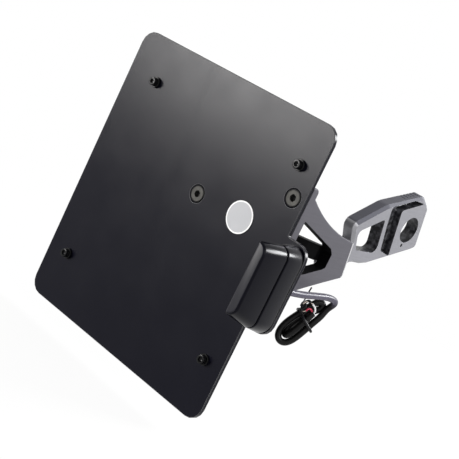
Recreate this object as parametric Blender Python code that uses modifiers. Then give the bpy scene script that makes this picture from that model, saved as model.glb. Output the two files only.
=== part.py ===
"""Side mount licence plate holder for a motorcycle.

A flat base plate for the licence plate stands on a machined three-legged arm. The arm
is screwed to a flat adapter that slips over the rear axle. A slim plate lamp is bolted
to the plate's ear, and its cable ends in a tied hank.

World frame, in metres: +X towards the motorcycle, +Y forwards along it, +Z up.
The origin is the centre of the axle hole on the adapter's outer face.
Sizes are measured from the base plate's front: right, down and back from its upper
left corner, as seen by someone who stands behind the motorcycle.
"""

import math

import bmesh
import bpy
from mathutils import Matrix, Vector

# Base plate
PLATE_WIDTH = 0.180
PLATE_HEIGHT = 0.200
PLATE_THICKNESS = 0.003
PLATE_CORNER_RADIUS = 0.010
PLATE_EDGE_BREAK = 0.0003
EAR_REACH = 0.0187
EAR_MARGIN_TOP = 0.0015
EAR_MARGIN_BOTTOM = 0.0007
EAR_CORNER_RADIUS = 0.0150

# Clearance kept between pieces that seat on each other
SEAT_GAP = 0.0003

# M4 socket caps, with washers and nuts where they hold the licence plate
CAP_HEAD_RADIUS = 0.0035
CAP_HEAD_HEIGHT = 0.004
CAP_SHANK_RADIUS = 0.002
CAP_HEX_FLATS = 0.003
CAP_HEX_DEPTH = 0.0022
CAP_EDGE_BREAK = 0.0003
CAP_TIP_LENGTH = 0.0018
WASHER_RADIUS = 0.0045
WASHER_THICKNESS = 0.0008
NUT_FLATS = 0.007
NUT_HEIGHT = 0.0032
SCREW_MARGIN_TOP = 0.0295
SCREW_MARGIN_BOTTOM = 0.037
SCREW_MARGIN_RIGHT = 0.0149
UPPER_SCREW_MARGIN_LEFT = 0.0285
LOWER_SCREW_MARGIN_LEFT = 0.0203

# Countersunk M6 screws that hold the base plate to the arm
SUNK_HEAD_RADIUS = 0.0056
SUNK_SHANK_RADIUS = 0.0027
SUNK_HEX_FLATS = 0.004
SUNK_HEX_DEPTH = 0.002
SUNK_TIP_PAST_FLANGE = 0.0004
EDGE_SCREW_MARGIN = 0.0094
UPPER_EDGE_SCREW_DOWN = 0.0487
LOWER_EDGE_SCREW_DOWN = 0.1075
TONGUE_SCREW_MARGIN = 0.0778
TONGUE_SCREW_DOWN = 0.07805

# Machined arm: side plate with a window, flange with a tongue, and a third leg
ARM_THICKNESS = 0.008
ARM_EDGE_ROUND = 0.0009
ARM_END_RADIUS = 0.0055
STRIP_DEPTH = 0.006
FLANGE_DEPTH = 0.0053
PAD_RADIUS = 0.0105
PAD_SIDE = 0.0094
FLANGE_FILLET = 0.006
LEG_HEIGHT = 0.0103
LEG_CHAMFER = 0.0004
ARM_REACH = 0.0670

# Axle adapter
ADAPTER_THICKNESS = 0.0095
ADAPTER_CHAMFER = 0.002
ADAPTER_LENGTH = 0.0963
ADAPTER_HEIGHT = 0.0668
ADAPTER_LAP = 0.0063
ADAPTER_FOOT_DROP = 0.0005
AXLE_HOLE_RADIUS = 0.009525
POCKET_DEPTH = 0.006
POCKET_FLOOR_RADIUS = 0.0016
GROOVE_COUNT = 5
GROOVE_PITCH = 0.0033
GROOVE_WIDTH = 0.0009
GROOVE_DEPTH = 0.0005
GROOVE_LENGTH = 0.005
DOT_RADIUS = 0.0012
DOT_DEPTH = 0.0012
DOT_DOWN = 0.0106

# Sunk socket caps that hold the adapter to the arm
ADAPTER_SCREW_MARGIN = 0.0048
ADAPTER_SCREW_SPACING = 0.0091
ADAPTER_SCREW_GRIP = 0.006

# Plate lamp on the ear
LAMP_BACK_WIDTH = 0.0196
LAMP_BACK_LENGTH = 0.0575
LAMP_JOINT_WIDTH = 0.0142
LAMP_JOINT_LENGTH = 0.0530
LAMP_FRONT_WIDTH = 0.0075
LAMP_FRONT_LENGTH = 0.0460
LAMP_TOP = 0.0715
LAMP_TOP_DROP = 0.0006
LAMP_EDGE_MARGIN = 0.0008
LAMP_RIGHT_LEAN = 0.0014
GASKET_THICKNESS = 0.0017
GASKET_INSET = 0.0013
LAMP_BASE_HEIGHT = 0.0167
LAMP_WALL = 0.002
LAMP_FLOOR = 0.003
LAMP_JOINT_GROOVE = 0.0012
LAMP_COVER_HEIGHT = 0.0225
LAMP_EDGE_ROUND = 0.0010
LIP_INSET = 0.0010
LENS_THICKNESS = 0.0012
LENS_WIDTH = 0.012
LENS_LENGTH = 0.027
BOARD_THICKNESS = 0.001
LED_COUNT = 3
LED_SIZE = 0.0028
LED_HEIGHT = 0.0007
STUD_RADIUS = 0.002
STUD_HEAD_RADIUS = 0.0034
STUD_HEAD_HEIGHT = 0.0016
STUD_SPACING = 0.036
STUD_TIP_LENGTH = 0.002

# Cable, its grommet and the tied hank
CABLE_DIAMETER = 0.0044
GROMMET_RADIUS = 0.0052
GROMMET_NECK_RADIUS = 0.0037
GROMMET_LIP = 0.0022
HANK_LENGTH = 0.042
HANK_WIDTH = 0.0162
HANK_THICKNESS = 0.0096
HANK_MIDDLE = (0.1837, 0.1212, 0.0507)
HANK_ALONG = (-0.23, -0.38, -0.90)
HANK_OUT = (0.60, -0.78, 0.17)
RED_WIRE_ACROSS = -0.0032
WHITE_WIRE_ACROSS = -0.0062
TIE_WIDTH = 0.0026
TIE_THICKNESS = 0.0011
WIRE_DIAMETER = 0.0015

# Round label
LABEL_RADIUS = 0.0105
LABEL_THICKNESS = 0.0002
LABEL_RIGHT = 0.1413
LABEL_DOWN = 0.0759

# Shares of the arm's and the adapter's length and height at which their outlines turn
ARM_TIP_UPPER = (0.9104, 0.3208)
ARM_TIP_LOWER = (1, 0.6241)
ADAPTER_TOP_START = (0.3946, 0.1985)
ADAPTER_TOP_END = (0.784, 0)
ADAPTER_FOOT_TOP = 0.7081
GROOVE_START = 0.6106
AXLE_PLACE = (0.78609, 0.37874)

# Places that follow from the sizes above
ARM_INNER_FACE = PLATE_WIDTH - ARM_THICKNESS
AXLE_RIGHT = ARM_INNER_FACE - SEAT_GAP
ARM_FRONT = PLATE_THICKNESS + SEAT_GAP
STRIP_BACK = ARM_FRONT + STRIP_DEPTH
FLANGE_BACK = ARM_FRONT + FLANGE_DEPTH
EDGE_SCREW_RIGHT = PLATE_WIDTH - EDGE_SCREW_MARGIN
TONGUE_SCREW_RIGHT = PLATE_WIDTH - TONGUE_SCREW_MARGIN
FLANGE_TOP = UPPER_EDGE_SCREW_DOWN - PAD_RADIUS
FLANGE_BOTTOM = LOWER_EDGE_SCREW_DOWN + PAD_RADIUS
ARM_HEIGHT = FLANGE_BOTTOM - FLANGE_TOP
LEG_TOP = TONGUE_SCREW_DOWN - LEG_HEIGHT / 2
LEG_BOTTOM = TONGUE_SCREW_DOWN + LEG_HEIGHT / 2
ADAPTER_FRONT = STRIP_BACK + ARM_TIP_UPPER[0] * ARM_REACH - ADAPTER_LAP
ADAPTER_LOWEST = FLANGE_TOP + ARM_TIP_LOWER[1] * ARM_HEIGHT + ADAPTER_FOOT_DROP
ADAPTER_UPPER = ADAPTER_LOWEST - ADAPTER_HEIGHT
AXLE_BACK = ADAPTER_FRONT + AXLE_PLACE[0] * ADAPTER_LENGTH
AXLE_DOWN = ADAPTER_UPPER + AXLE_PLACE[1] * ADAPTER_HEIGHT
EAR_TOP = LAMP_TOP - EAR_MARGIN_TOP
EAR_BOTTOM = LAMP_TOP + LAMP_BACK_LENGTH + EAR_MARGIN_BOTTOM
LAMP_RIGHT_EDGE = PLATE_WIDTH + EAR_REACH + LAMP_EDGE_MARGIN
LAMP_CENTRE_RIGHT = LAMP_RIGHT_EDGE - LAMP_BACK_WIDTH / 2
LAMP_CENTRE_DOWN = LAMP_TOP + LAMP_BACK_LENGTH / 2
GASKET_FRONT = -SEAT_GAP - GASKET_THICKNESS
LAMP_BASE_BACK = GASKET_FRONT - SEAT_GAP
LAMP_BASE_FRONT = LAMP_BASE_BACK - LAMP_BASE_HEIGHT
LAMP_COVER_BACK = LAMP_BASE_FRONT - LAMP_JOINT_GROOVE
LAMP_COVER_FRONT = LAMP_COVER_BACK - LAMP_COVER_HEIGHT
GROMMET_BACK = PLATE_THICKNESS + SEAT_GAP + GROMMET_LIP

ROUND_STEPS = 24
SMALL_ROUND_STEPS = 18
ARC_STEP = math.radians(20)
WELD_DISTANCE = 0.000002

# Which way a piece's own Z axis looks
FACING_FRONT = Matrix.Rotation(math.radians(90), 4, "X")
FACING_RIGHT = Matrix.Rotation(math.radians(90), 4, "Z") @ FACING_FRONT
FACING_LEFT = Matrix.Rotation(math.radians(-90), 4, "Y")
FACING_UP = Matrix.Identity(4)


def spot(right, down, back):
    """World point at these distances from the base plate's upper left front corner."""
    return Vector((right - AXLE_RIGHT, back - AXLE_BACK, AXLE_DOWN - down))


def make_collection(name):
    """New collection in the scene."""
    collection = bpy.data.collections.new(name)
    bpy.context.scene.collection.children.link(collection)
    return collection


def make_material(name, colour, roughness, metallic):
    """Principled material with one colour."""
    material = bpy.data.materials.new(name)
    material.use_nodes = True
    shader = material.node_tree.nodes["Principled BSDF"]
    shader.inputs["Base Color"].default_value = (*colour, 1.0)
    shader.inputs["Roughness"].default_value = roughness
    shader.inputs["Metallic"].default_value = metallic
    material.diffuse_color = (*colour, 1.0)
    return material


# Outlines

def rounded(corners):
    """Closed outline through (x, y, radius) corners, with an arc where there is a radius."""
    points = []
    for index, (x, y, radius) in enumerate(corners):
        corner = Vector((x, y))
        before = corner - Vector(corners[index - 1][:2])
        after = Vector(corners[(index + 1) % len(corners)][:2]) - corner
        turn = math.atan2(before.x * after.y - before.y * after.x, before.dot(after))
        if radius == 0 or abs(turn) < 0.01:
            points.append(corner)
            continue
        slope = math.tan(abs(turn) / 2)
        reach = min(radius * slope, 0.48 * before.length, 0.48 * after.length)
        radius = reach / slope
        start = corner - before.normalized() * reach
        side = Vector((-before.y, before.x)).normalized() * math.copysign(radius, turn)
        centre = start + side
        count = max(1, round(abs(turn) / ARC_STEP))
        for step in range(count + 1):
            points.append(centre - Matrix.Rotation(turn * step / count, 2) @ side)
    return points


def arc_through(first, middle, last, count):
    """Points along the circle through three points, from the first to the last."""
    a, b, c = Vector(first), Vector(middle), Vector(last)
    ab, ac = b - a, c - a
    area = 2 * (ab.x * ac.y - ab.y * ac.x)
    offset_x = (ac.y * ab.length_squared - ab.y * ac.length_squared) / area
    offset_y = (ab.x * ac.length_squared - ac.x * ab.length_squared) / area
    centre = a + Vector((offset_x, offset_y))
    start = a - centre
    end = c - centre
    turn = math.atan2(start.x * end.y - start.y * end.x, start.dot(end))
    return [centre + Matrix.Rotation(turn * step / count, 2) @ start for step in range(count + 1)]


def plain(points):
    """The points as corners without a radius."""
    return [(point[0], point[1], 0) for point in points]


def stadium(width, height, radius):
    """Rounded upright outline about the origin."""
    half_width, half_height = width / 2, height / 2
    return rounded([
        (-half_width, -half_height, radius),
        (half_width, -half_height, radius),
        (half_width, half_height, radius),
        (-half_width, half_height, radius),
    ])


# Solids

def place(mesh_object, collection, material):
    """Links an object to its collection and gives it its material."""
    collection.objects.link(mesh_object)
    if material is not None:
        mesh_object.data.materials.append(material)
    return mesh_object


def mesh_object_from(name, bm, matrix):
    """Object from a bmesh, at a place."""
    mesh = bpy.data.meshes.new(name)
    bmesh.ops.recalc_face_normals(bm, faces=bm.faces)
    bm.to_mesh(mesh)
    bm.free()
    solid = bpy.data.objects.new(name, mesh)
    solid.matrix_world = matrix
    return solid


def curve_to_solid(curve_object, name, matrix):
    """Welded mesh object with a curve's evaluated shape; the curve is removed."""
    bpy.context.scene.collection.objects.link(curve_object)
    depsgraph = bpy.context.evaluated_depsgraph_get()
    mesh = bpy.data.meshes.new_from_object(curve_object.evaluated_get(depsgraph))
    bm = bmesh.new()
    bm.from_mesh(mesh)
    bmesh.ops.remove_doubles(bm, verts=bm.verts, dist=WELD_DISTANCE)
    curve = curve_object.data
    bpy.data.objects.remove(curve_object)
    bpy.data.curves.remove(curve)
    bpy.data.meshes.remove(mesh)
    return mesh_object_from(name, bm, matrix)


def slab(name, outline, thickness, matrix, chamfer=0.0, rounds=0):
    """Flat plate of an outline, centred on its plane, with its edges chamfered or rounded."""
    curve = bpy.data.curves.new(name, "CURVE")
    curve.dimensions = "2D"
    curve.fill_mode = "BOTH"
    curve.extrude = thickness / 2 - chamfer
    curve.bevel_depth = chamfer
    curve.bevel_resolution = rounds
    curve.offset = -chamfer
    spline = curve.splines.new("POLY")
    spline.points.add(len(outline) - 1)
    for point, (x, y) in zip(spline.points, outline):
        point.co = (x, y, 0, 1)
    spline.use_cyclic_u = True
    return curve_to_solid(bpy.data.objects.new(name, curve), name, matrix)


def front_slab(name, outline, front, back, chamfer=0.0, rounds=0):
    """Slab of a (right, down) outline between two depths."""
    matrix = Matrix.Translation(spot(0, 0, (front + back) / 2)) @ FACING_FRONT
    flat = [(right, -down) for right, down in outline]
    return slab(name, flat, back - front, matrix, chamfer, rounds)


def side_slab(name, outline, left, right, chamfer=0.0, rounds=0):
    """Slab of a (back, down) outline between two distances to the right."""
    matrix = Matrix.Translation(spot((left + right) / 2, 0, 0)) @ FACING_RIGHT
    flat = [(back, -down) for back, down in outline]
    return slab(name, flat, right - left, matrix, chamfer, rounds)


def plan_slab(name, outline, top, bottom, chamfer=0.0):
    """Slab of a (right, back) outline between two heights."""
    matrix = Matrix.Translation(spot(0, (top + bottom) / 2, 0)) @ FACING_UP
    return slab(name, outline, bottom - top, matrix, chamfer)


def turned(name, profile, matrix, steps=ROUND_STEPS, ring=False):
    """Solid turned about its own Z from (radius, height) pairs, from the top down its outside."""
    mesh = bpy.data.meshes.new(name)
    edges = [(index, index + 1) for index in range(len(profile) - 1)]
    if ring:
        edges.append((len(profile) - 1, 0))
    mesh.from_pydata([(radius, 0, height) for radius, height in profile], edges, [])
    solid = bpy.data.objects.new(name, mesh)
    solid.matrix_world = matrix
    screw = solid.modifiers.new("turn", "SCREW")
    screw.axis = "Z"
    screw.steps = steps
    screw.render_steps = steps
    screw.use_merge_vertices = True
    screw.merge_threshold = WELD_DISTANCE
    screw.use_smooth_shade = True
    return solid


def prism(name, radius, top, bottom, matrix, sides=ROUND_STEPS):
    """Upright round or many-sided prism between two heights of its own Z."""
    bm = bmesh.new()
    bmesh.ops.create_cone(
        bm, cap_ends=True, segments=sides, radius1=radius, radius2=radius, depth=top - bottom
    )
    middle = Matrix.Translation((0, 0, (top + bottom) / 2))
    return mesh_object_from(name, bm, matrix @ middle)


def hexagon(name, flats, top, bottom, matrix):
    """Six-sided prism given its width across flats."""
    return prism(name, flats / math.sqrt(3), top, bottom, matrix, sides=6)


def block(name, size, matrix):
    """Box of this size about its own origin."""
    bm = bmesh.new()
    bmesh.ops.create_cube(bm, size=1.0)
    bmesh.ops.scale(bm, vec=size, verts=bm.verts)
    return mesh_object_from(name, bm, matrix)


def tube(name, route, diameter, bevel_resolution=2):
    """Round cord along world points."""
    curve = bpy.data.curves.new(name, "CURVE")
    curve.dimensions = "3D"
    curve.bevel_depth = diameter / 2
    curve.bevel_resolution = bevel_resolution
    curve.use_fill_caps = True
    spline = curve.splines.new("POLY")
    spline.points.add(len(route) - 1)
    for point, place_on_route in zip(spline.points, route):
        point.co = (*place_on_route, 1)
    return curve_to_solid(bpy.data.objects.new(name, curve), name, Matrix.Identity(4))


def combine(body, tool, operation, cutters):
    """Boolean of a body with a tool, which stays in the cutters' collection."""
    place(tool, cutters, None)
    tool.hide_render = True
    tool.display_type = "WIRE"
    boolean = body.modifiers.new(tool.name, "BOOLEAN")
    boolean.object = tool
    boolean.operation = operation
    return body


def cut(body, tool, cutters):
    """Takes the tool's shape out of the body."""
    return combine(body, tool, "DIFFERENCE", cutters)


def join(body, tool, cutters):
    """Makes the tool's shape one with the body."""
    return combine(body, tool, "UNION", cutters)


# Base plate and its screws

def plate_screw_places():
    """(right, down) of the four licence plate screws."""
    upper = SCREW_MARGIN_TOP
    lower = PLATE_HEIGHT - SCREW_MARGIN_BOTTOM
    right = PLATE_WIDTH - SCREW_MARGIN_RIGHT
    return [
        (UPPER_SCREW_MARGIN_LEFT, upper),
        (right, upper),
        (LOWER_SCREW_MARGIN_LEFT, lower),
        (right, lower),
    ]


def countersunk_places():
    """(right, down) of the three screws between plate and arm."""
    return [
        (TONGUE_SCREW_RIGHT, TONGUE_SCREW_DOWN),
        (EDGE_SCREW_RIGHT, UPPER_EDGE_SCREW_DOWN),
        (EDGE_SCREW_RIGHT, LOWER_EDGE_SCREW_DOWN),
    ]


def stud_places():
    """(right, down) of the two lamp studs."""
    return [
        (LAMP_CENTRE_RIGHT, LAMP_CENTRE_DOWN - STUD_SPACING / 2),
        (LAMP_CENTRE_RIGHT, LAMP_CENTRE_DOWN + STUD_SPACING / 2),
    ]


def make_base_plate(parts, cutters, material):
    """Flat plate with the lamp's ear on its right edge, drilled and countersunk."""
    ear_right = PLATE_WIDTH + EAR_REACH
    outline = rounded([
        (0, 0, PLATE_CORNER_RADIUS),
        (PLATE_WIDTH, 0, PLATE_CORNER_RADIUS),
        (PLATE_WIDTH, EAR_TOP, PLATE_THICKNESS / 3),
        (ear_right, EAR_TOP, EAR_CORNER_RADIUS),
        (ear_right, EAR_BOTTOM, EAR_CORNER_RADIUS),
        (PLATE_WIDTH, EAR_BOTTOM, PLATE_THICKNESS / 3),
        (PLATE_WIDTH, PLATE_HEIGHT, PLATE_CORNER_RADIUS),
        (0, PLATE_HEIGHT, PLATE_CORNER_RADIUS),
    ])
    plate = front_slab("base_plate", outline, 0, PLATE_THICKNESS, PLATE_EDGE_BREAK)
    place(plate, parts, material)
    past = PLATE_THICKNESS
    clearance = CAP_SHANK_RADIUS + SEAT_GAP
    for number, (right, down) in enumerate(plate_screw_places() + stud_places(), 1):
        matrix = Matrix.Translation(spot(right, down, 0)) @ FACING_FRONT
        drill = prism(f"plate_drill_{number}", clearance, past, -PLATE_THICKNESS - past,
                      matrix, SMALL_ROUND_STEPS)
        cut(plate, drill, cutters)
    for number, (right, down) in enumerate(countersunk_places(), 1):
        matrix = Matrix.Translation(spot(right, down, 0)) @ FACING_FRONT
        mouth = SUNK_HEAD_RADIUS + 2.5 * SEAT_GAP
        neck = SUNK_SHANK_RADIUS + 2 * SEAT_GAP
        profile = [
            (0, past),
            (mouth, past),
            (mouth, 0),
            (neck, neck - mouth),
            (neck, -PLATE_THICKNESS - past),
            (0, -PLATE_THICKNESS - past),
        ]
        cut(plate, turned(f"countersink_{number}", profile, matrix), cutters)
    matrix = Matrix.Translation(spot(LAMP_CENTRE_RIGHT, LAMP_CENTRE_DOWN, 0)) @ FACING_FRONT
    bore = prism("cable_drill", GROMMET_NECK_RADIUS + SEAT_GAP, past, -PLATE_THICKNESS - past,
                 matrix)
    cut(plate, bore, cutters)
    return plate


def socket_cap(name, matrix, shank_length):
    """Socket cap screw whose head stands on its own origin, with the shank below."""
    profile = [
        (0, CAP_HEAD_HEIGHT),
        (CAP_HEAD_RADIUS - CAP_EDGE_BREAK, CAP_HEAD_HEIGHT),
        (CAP_HEAD_RADIUS, CAP_HEAD_HEIGHT - CAP_EDGE_BREAK),
        (CAP_HEAD_RADIUS, 0),
        (CAP_SHANK_RADIUS, 0),
        (CAP_SHANK_RADIUS, -shank_length + CAP_EDGE_BREAK),
        (CAP_SHANK_RADIUS - CAP_EDGE_BREAK, -shank_length),
        (0, -shank_length),
    ]
    screw = turned(name, profile, matrix, SMALL_ROUND_STEPS)
    key = hexagon(f"{name}_key", CAP_HEX_FLATS, CAP_HEAD_HEIGHT + CAP_HEX_DEPTH,
                  CAP_HEAD_HEIGHT - CAP_HEX_DEPTH, matrix)
    return screw, key


def make_plate_screws(parts, cutters, steel):
    """Four cap screws, each with a washer in front and a nut behind the plate."""
    washer_front = SEAT_GAP + WASHER_THICKNESS
    head_seat = washer_front + SEAT_GAP
    nut_front = PLATE_THICKNESS + SEAT_GAP
    shank_length = head_seat + nut_front + NUT_HEIGHT + CAP_TIP_LENGTH
    bore = CAP_SHANK_RADIUS + SEAT_GAP
    for number, (right, down) in enumerate(plate_screw_places(), 1):
        seat = Matrix.Translation(spot(right, down, -head_seat)) @ FACING_FRONT
        screw, key = socket_cap(f"plate_screw_{number}", seat, shank_length)
        place(screw, parts, steel)
        cut(screw, key, cutters)
        make_washer(f"plate_washer_{number}", right, down, -SEAT_GAP, parts, steel, bore)
        make_nut(f"plate_nut_{number}", right, down, nut_front, parts, cutters, steel, bore)


def make_washer(name, right, down, back, parts, steel, bore):
    """Flat washer whose back face lies at this depth."""
    matrix = Matrix.Translation(spot(right, down, back)) @ FACING_FRONT
    profile = [
        (bore, WASHER_THICKNESS),
        (WASHER_RADIUS, WASHER_THICKNESS),
        (WASHER_RADIUS, 0),
        (bore, 0),
    ]
    return place(turned(name, profile, matrix, SMALL_ROUND_STEPS, ring=True), parts, steel)


def make_nut(name, right, down, front, parts, cutters, steel, bore):
    """Hexagon nut whose front face lies at this depth."""
    matrix = Matrix.Translation(spot(right, down, front)) @ FACING_FRONT
    nut = hexagon(name, NUT_FLATS, 0, -NUT_HEIGHT, matrix)
    drill = prism(f"{name}_drill", bore, NUT_HEIGHT, -2 * NUT_HEIGHT, matrix, SMALL_ROUND_STEPS)
    place(nut, parts, steel)
    return cut(nut, drill, cutters)


def make_countersunk_screws(parts, cutters, steel):
    """Three countersunk screws, sunk just below the plate's front, into the flange."""
    tip = FLANGE_BACK + SUNK_TIP_PAST_FLANGE - SEAT_GAP
    sunk_by = SEAT_GAP / 2
    profile = [
        (0, -sunk_by),
        (SUNK_HEAD_RADIUS, -sunk_by),
        (SUNK_HEAD_RADIUS, -sunk_by - SEAT_GAP),
        (SUNK_SHANK_RADIUS, -sunk_by - SEAT_GAP - SUNK_HEAD_RADIUS + SUNK_SHANK_RADIUS),
        (SUNK_SHANK_RADIUS, -tip),
        (0, -tip),
    ]
    for number, (right, down) in enumerate(countersunk_places(), 1):
        name = f"countersunk_screw_{number}"
        matrix = Matrix.Translation(spot(right, down, 0)) @ FACING_FRONT
        screw = place(turned(name, profile, matrix), parts, steel)
        key = hexagon(f"{name}_key", SUNK_HEX_FLATS, SUNK_HEX_DEPTH, -SUNK_HEX_DEPTH, matrix)
        cut(screw, key, cutters)


def make_label(parts, material):
    """Thin round sticker on the plate's front."""
    matrix = Matrix.Translation(spot(LABEL_RIGHT, LABEL_DOWN, -SEAT_GAP)) @ FACING_FRONT
    label = prism("round_label", LABEL_RADIUS, LABEL_THICKNESS, 0, matrix, 2 * ROUND_STEPS)
    return place(label, parts, material)


# Machined arm

def arm_point(along, below):
    """(back, down) at a share of the arm's reach and of its height."""
    return STRIP_BACK + along * ARM_REACH, FLANGE_TOP + below * ARM_HEIGHT


def arm_corner(along, below, rounding):
    """The same with a corner radius, as a share of the height."""
    return (*arm_point(along, below), rounding * ARM_HEIGHT)


def adapter_screw_places():
    """(back, down) of the two screws between adapter and arm."""
    back = ADAPTER_FRONT + ADAPTER_SCREW_MARGIN
    foot_top = adapter_corner(0, ADAPTER_FOOT_TOP, 0)[1]
    middle = (foot_top + ADAPTER_LOWEST) / 2
    return [
        (back, middle - ADAPTER_SCREW_SPACING / 2),
        (back, middle + ADAPTER_SCREW_SPACING / 2),
    ]


def make_arm(parts, cutters, material):
    """One billet piece: windowed side plate, flange with tongue, and curved third leg."""
    blank_front = ARM_FRONT - STRIP_DEPTH / 2
    upper_edge = arc_through(
        arm_point(0, 0.0702), arm_point(0.3627, 0.218), arm_point(*ARM_TIP_UPPER), 9
    )
    lower_edge = arc_through(
        arm_point(0.9478, 0.6404), arm_point(0.4179, 0.7932), arm_point(0, 0.9286), 8
    )
    side = [(blank_front, FLANGE_TOP - ARM_EDGE_ROUND, 0)]
    side.append((STRIP_BACK, FLANGE_TOP - ARM_EDGE_ROUND, ARM_END_RADIUS))
    side.extend(plain(upper_edge[:-1]))
    side.append(arm_corner(*ARM_TIP_UPPER, 0.015))
    side.append(arm_corner(*ARM_TIP_LOWER, 0.0276))
    side.extend(plain(lower_edge))
    side.append((STRIP_BACK, FLANGE_BOTTOM + ARM_EDGE_ROUND, ARM_END_RADIUS))
    side.append((blank_front, FLANGE_BOTTOM + ARM_EDGE_ROUND, 0))
    arm = side_slab("arm", rounded(side), ARM_INNER_FACE, PLATE_WIDTH, ARM_EDGE_ROUND, 1)
    place(arm, parts, material)

    past = ARM_THICKNESS / 2
    window = rounded([
        arm_corner(0, 0.2506, 0.01),
        arm_corner(0.5836, 0.411, 0.0125),
        arm_corner(0.6403, 0.4561, 0.0125),
        arm_corner(0.6403, 0.5764, 0.01),
        arm_corner(0.6, 0.594, 0.01),
        arm_corner(0.3627, 0.6629, 0),
        arm_corner(0, 0.7569, 0.01),
    ])
    cut(arm, side_slab("arm_window", window, ARM_INNER_FACE - past, PLATE_WIDTH + past), cutters)

    block_left = EDGE_SCREW_RIGHT - PAD_SIDE
    tongue_left = TONGUE_SCREW_RIGHT - PAD_RADIUS
    inside_plate = PLATE_WIDTH - ARM_THICKNESS / 2
    flange = rounded([
        (inside_plate, FLANGE_TOP, 0),
        (block_left, FLANGE_TOP, PAD_SIDE),
        (block_left, TONGUE_SCREW_DOWN - PAD_RADIUS, FLANGE_FILLET),
        (tongue_left, TONGUE_SCREW_DOWN - PAD_RADIUS, PAD_RADIUS),
        (tongue_left, TONGUE_SCREW_DOWN + PAD_RADIUS, PAD_RADIUS),
        (block_left, TONGUE_SCREW_DOWN + PAD_RADIUS, FLANGE_FILLET),
        (block_left, FLANGE_BOTTOM, PAD_SIDE),
        (inside_plate, FLANGE_BOTTOM, 0),
    ])
    join(arm, front_slab("flange", flange, blank_front, FLANGE_BACK, LEG_CHAMFER), cutters)

    leg_root = FLANGE_BACK - FLANGE_DEPTH / 2
    leg_reach = ARM_INNER_FACE - tongue_left
    leg_end = arm_point(0.7716, 0)[0]
    outer_edge = arc_through(
        (ARM_INNER_FACE, leg_end),
        (ARM_INNER_FACE - 0.3362 * leg_reach, arm_point(0.294, 0)[0]),
        (ARM_INNER_FACE - 0.8095 * leg_reach, leg_root),
        9,
    )
    inner_face = ARM_INNER_FACE - LEG_CHAMFER
    leg_bend = arm_point(0.4836, 0)[0]
    leg_seat = arm_point(0.5925, 0)[0]
    inner_end = arm_point(0.6597, 0)[0]
    leg = [(inside_plate, leg_end, 0)]
    leg.extend(plain(outer_edge))
    leg.append((ARM_INNER_FACE - 0.4857 * leg_reach, leg_root, 0))
    leg.append((ARM_INNER_FACE - 0.0585 * leg_reach, leg_bend, ARM_THICKNESS / 2))
    leg.append((inner_face, leg_seat, ARM_THICKNESS / 3))
    leg.append((inner_face, inner_end, 0))
    leg.append((inside_plate, inner_end, 0))
    join(arm, plan_slab("third_leg", rounded(leg), LEG_TOP, LEG_BOTTOM, LEG_CHAMFER), cutters)

    facing_size = (2 * PLATE_WIDTH, 2 * (ARM_FRONT - blank_front), 2 * PLATE_HEIGHT)
    facing_middle = spot(PLATE_WIDTH / 2, PLATE_HEIGHT / 2, blank_front)
    cut(arm, block("front_facing", facing_size, Matrix.Translation(facing_middle)), cutters)

    for number, (right, down) in enumerate(countersunk_places(), 1):
        matrix = Matrix.Translation(spot(right, down, 0)) @ FACING_FRONT
        tap = prism(f"flange_tap_{number}", SUNK_SHANK_RADIUS + SEAT_GAP, 0,
                    -FLANGE_BACK - SUNK_TIP_PAST_FLANGE, matrix, SMALL_ROUND_STEPS)
        cut(arm, tap, cutters)
    for number, (back, down) in enumerate(adapter_screw_places(), 1):
        matrix = Matrix.Translation(spot(ARM_INNER_FACE, down, back)) @ FACING_LEFT
        tap = prism(f"tip_tap_{number}", CAP_SHANK_RADIUS + SEAT_GAP, ADAPTER_SCREW_GRIP,
                    -ADAPTER_SCREW_GRIP - SEAT_GAP, matrix, SMALL_ROUND_STEPS)
        cut(arm, tap, cutters)
    return arm


# Axle adapter

def adapter_corner(along, below, rounding):
    """(back, down, radius) at a share of the adapter's length and of its height."""
    back = ADAPTER_FRONT + along * ADAPTER_LENGTH
    return back, ADAPTER_UPPER + below * ADAPTER_HEIGHT, rounding * ADAPTER_HEIGHT


def adapter_outline():
    """(back, down) outline of the adapter: lap foot, open bar and bearing end."""
    return rounded([
        adapter_corner(0.1018, 0.4805, 0.0793),
        adapter_corner(*ADAPTER_TOP_START, 0.2096),
        adapter_corner(*ADAPTER_TOP_END, 0.0524),
        adapter_corner(0.9013, 0.0943, 0.0674),
        adapter_corner(1, 0.5524, 0.0674),
        adapter_corner(0.4486, 0.8548, 0.3593),
        adapter_corner(0.2856, 0.8578, 0.1497),
        adapter_corner(0.1454, 1, 0.0898),
        adapter_corner(0, 1, 0.0449),
        adapter_corner(0, ADAPTER_FOOT_TOP, 0.0449),
        adapter_corner(0.2066, ADAPTER_FOOT_TOP, 0.0449),
    ])


def adapter_window():
    """(back, down) outline of the opening between the lap foot and the bearing end."""
    return rounded([
        adapter_corner(0.1828, 0.5389, 0.0629),
        adapter_corner(0.4258, 0.3428, 0.024),
        adapter_corner(0.5151, 0.7066, 0.0674),
        adapter_corner(0.2555, 0.726, 0.0449),
    ])


def bearing_pocket():
    """(back, down) outline of the L-shaped pocket beside the raised bearing face."""
    return rounded([
        adapter_corner(0.4382, 0.2036, 0.0449),
        adapter_corner(0.6957, 0.0674, 0.0599),
        adapter_corner(0.8204, 0.0674, 0.0075),
        adapter_corner(0.5774, 0.2066, 0.0329),
        adapter_corner(0.6895, 0.6991, 0.012),
        adapter_corner(0.5587, 0.6692, 0.0449),
        adapter_corner(0.4881, 0.4207, 0.0898),
    ])


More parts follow.
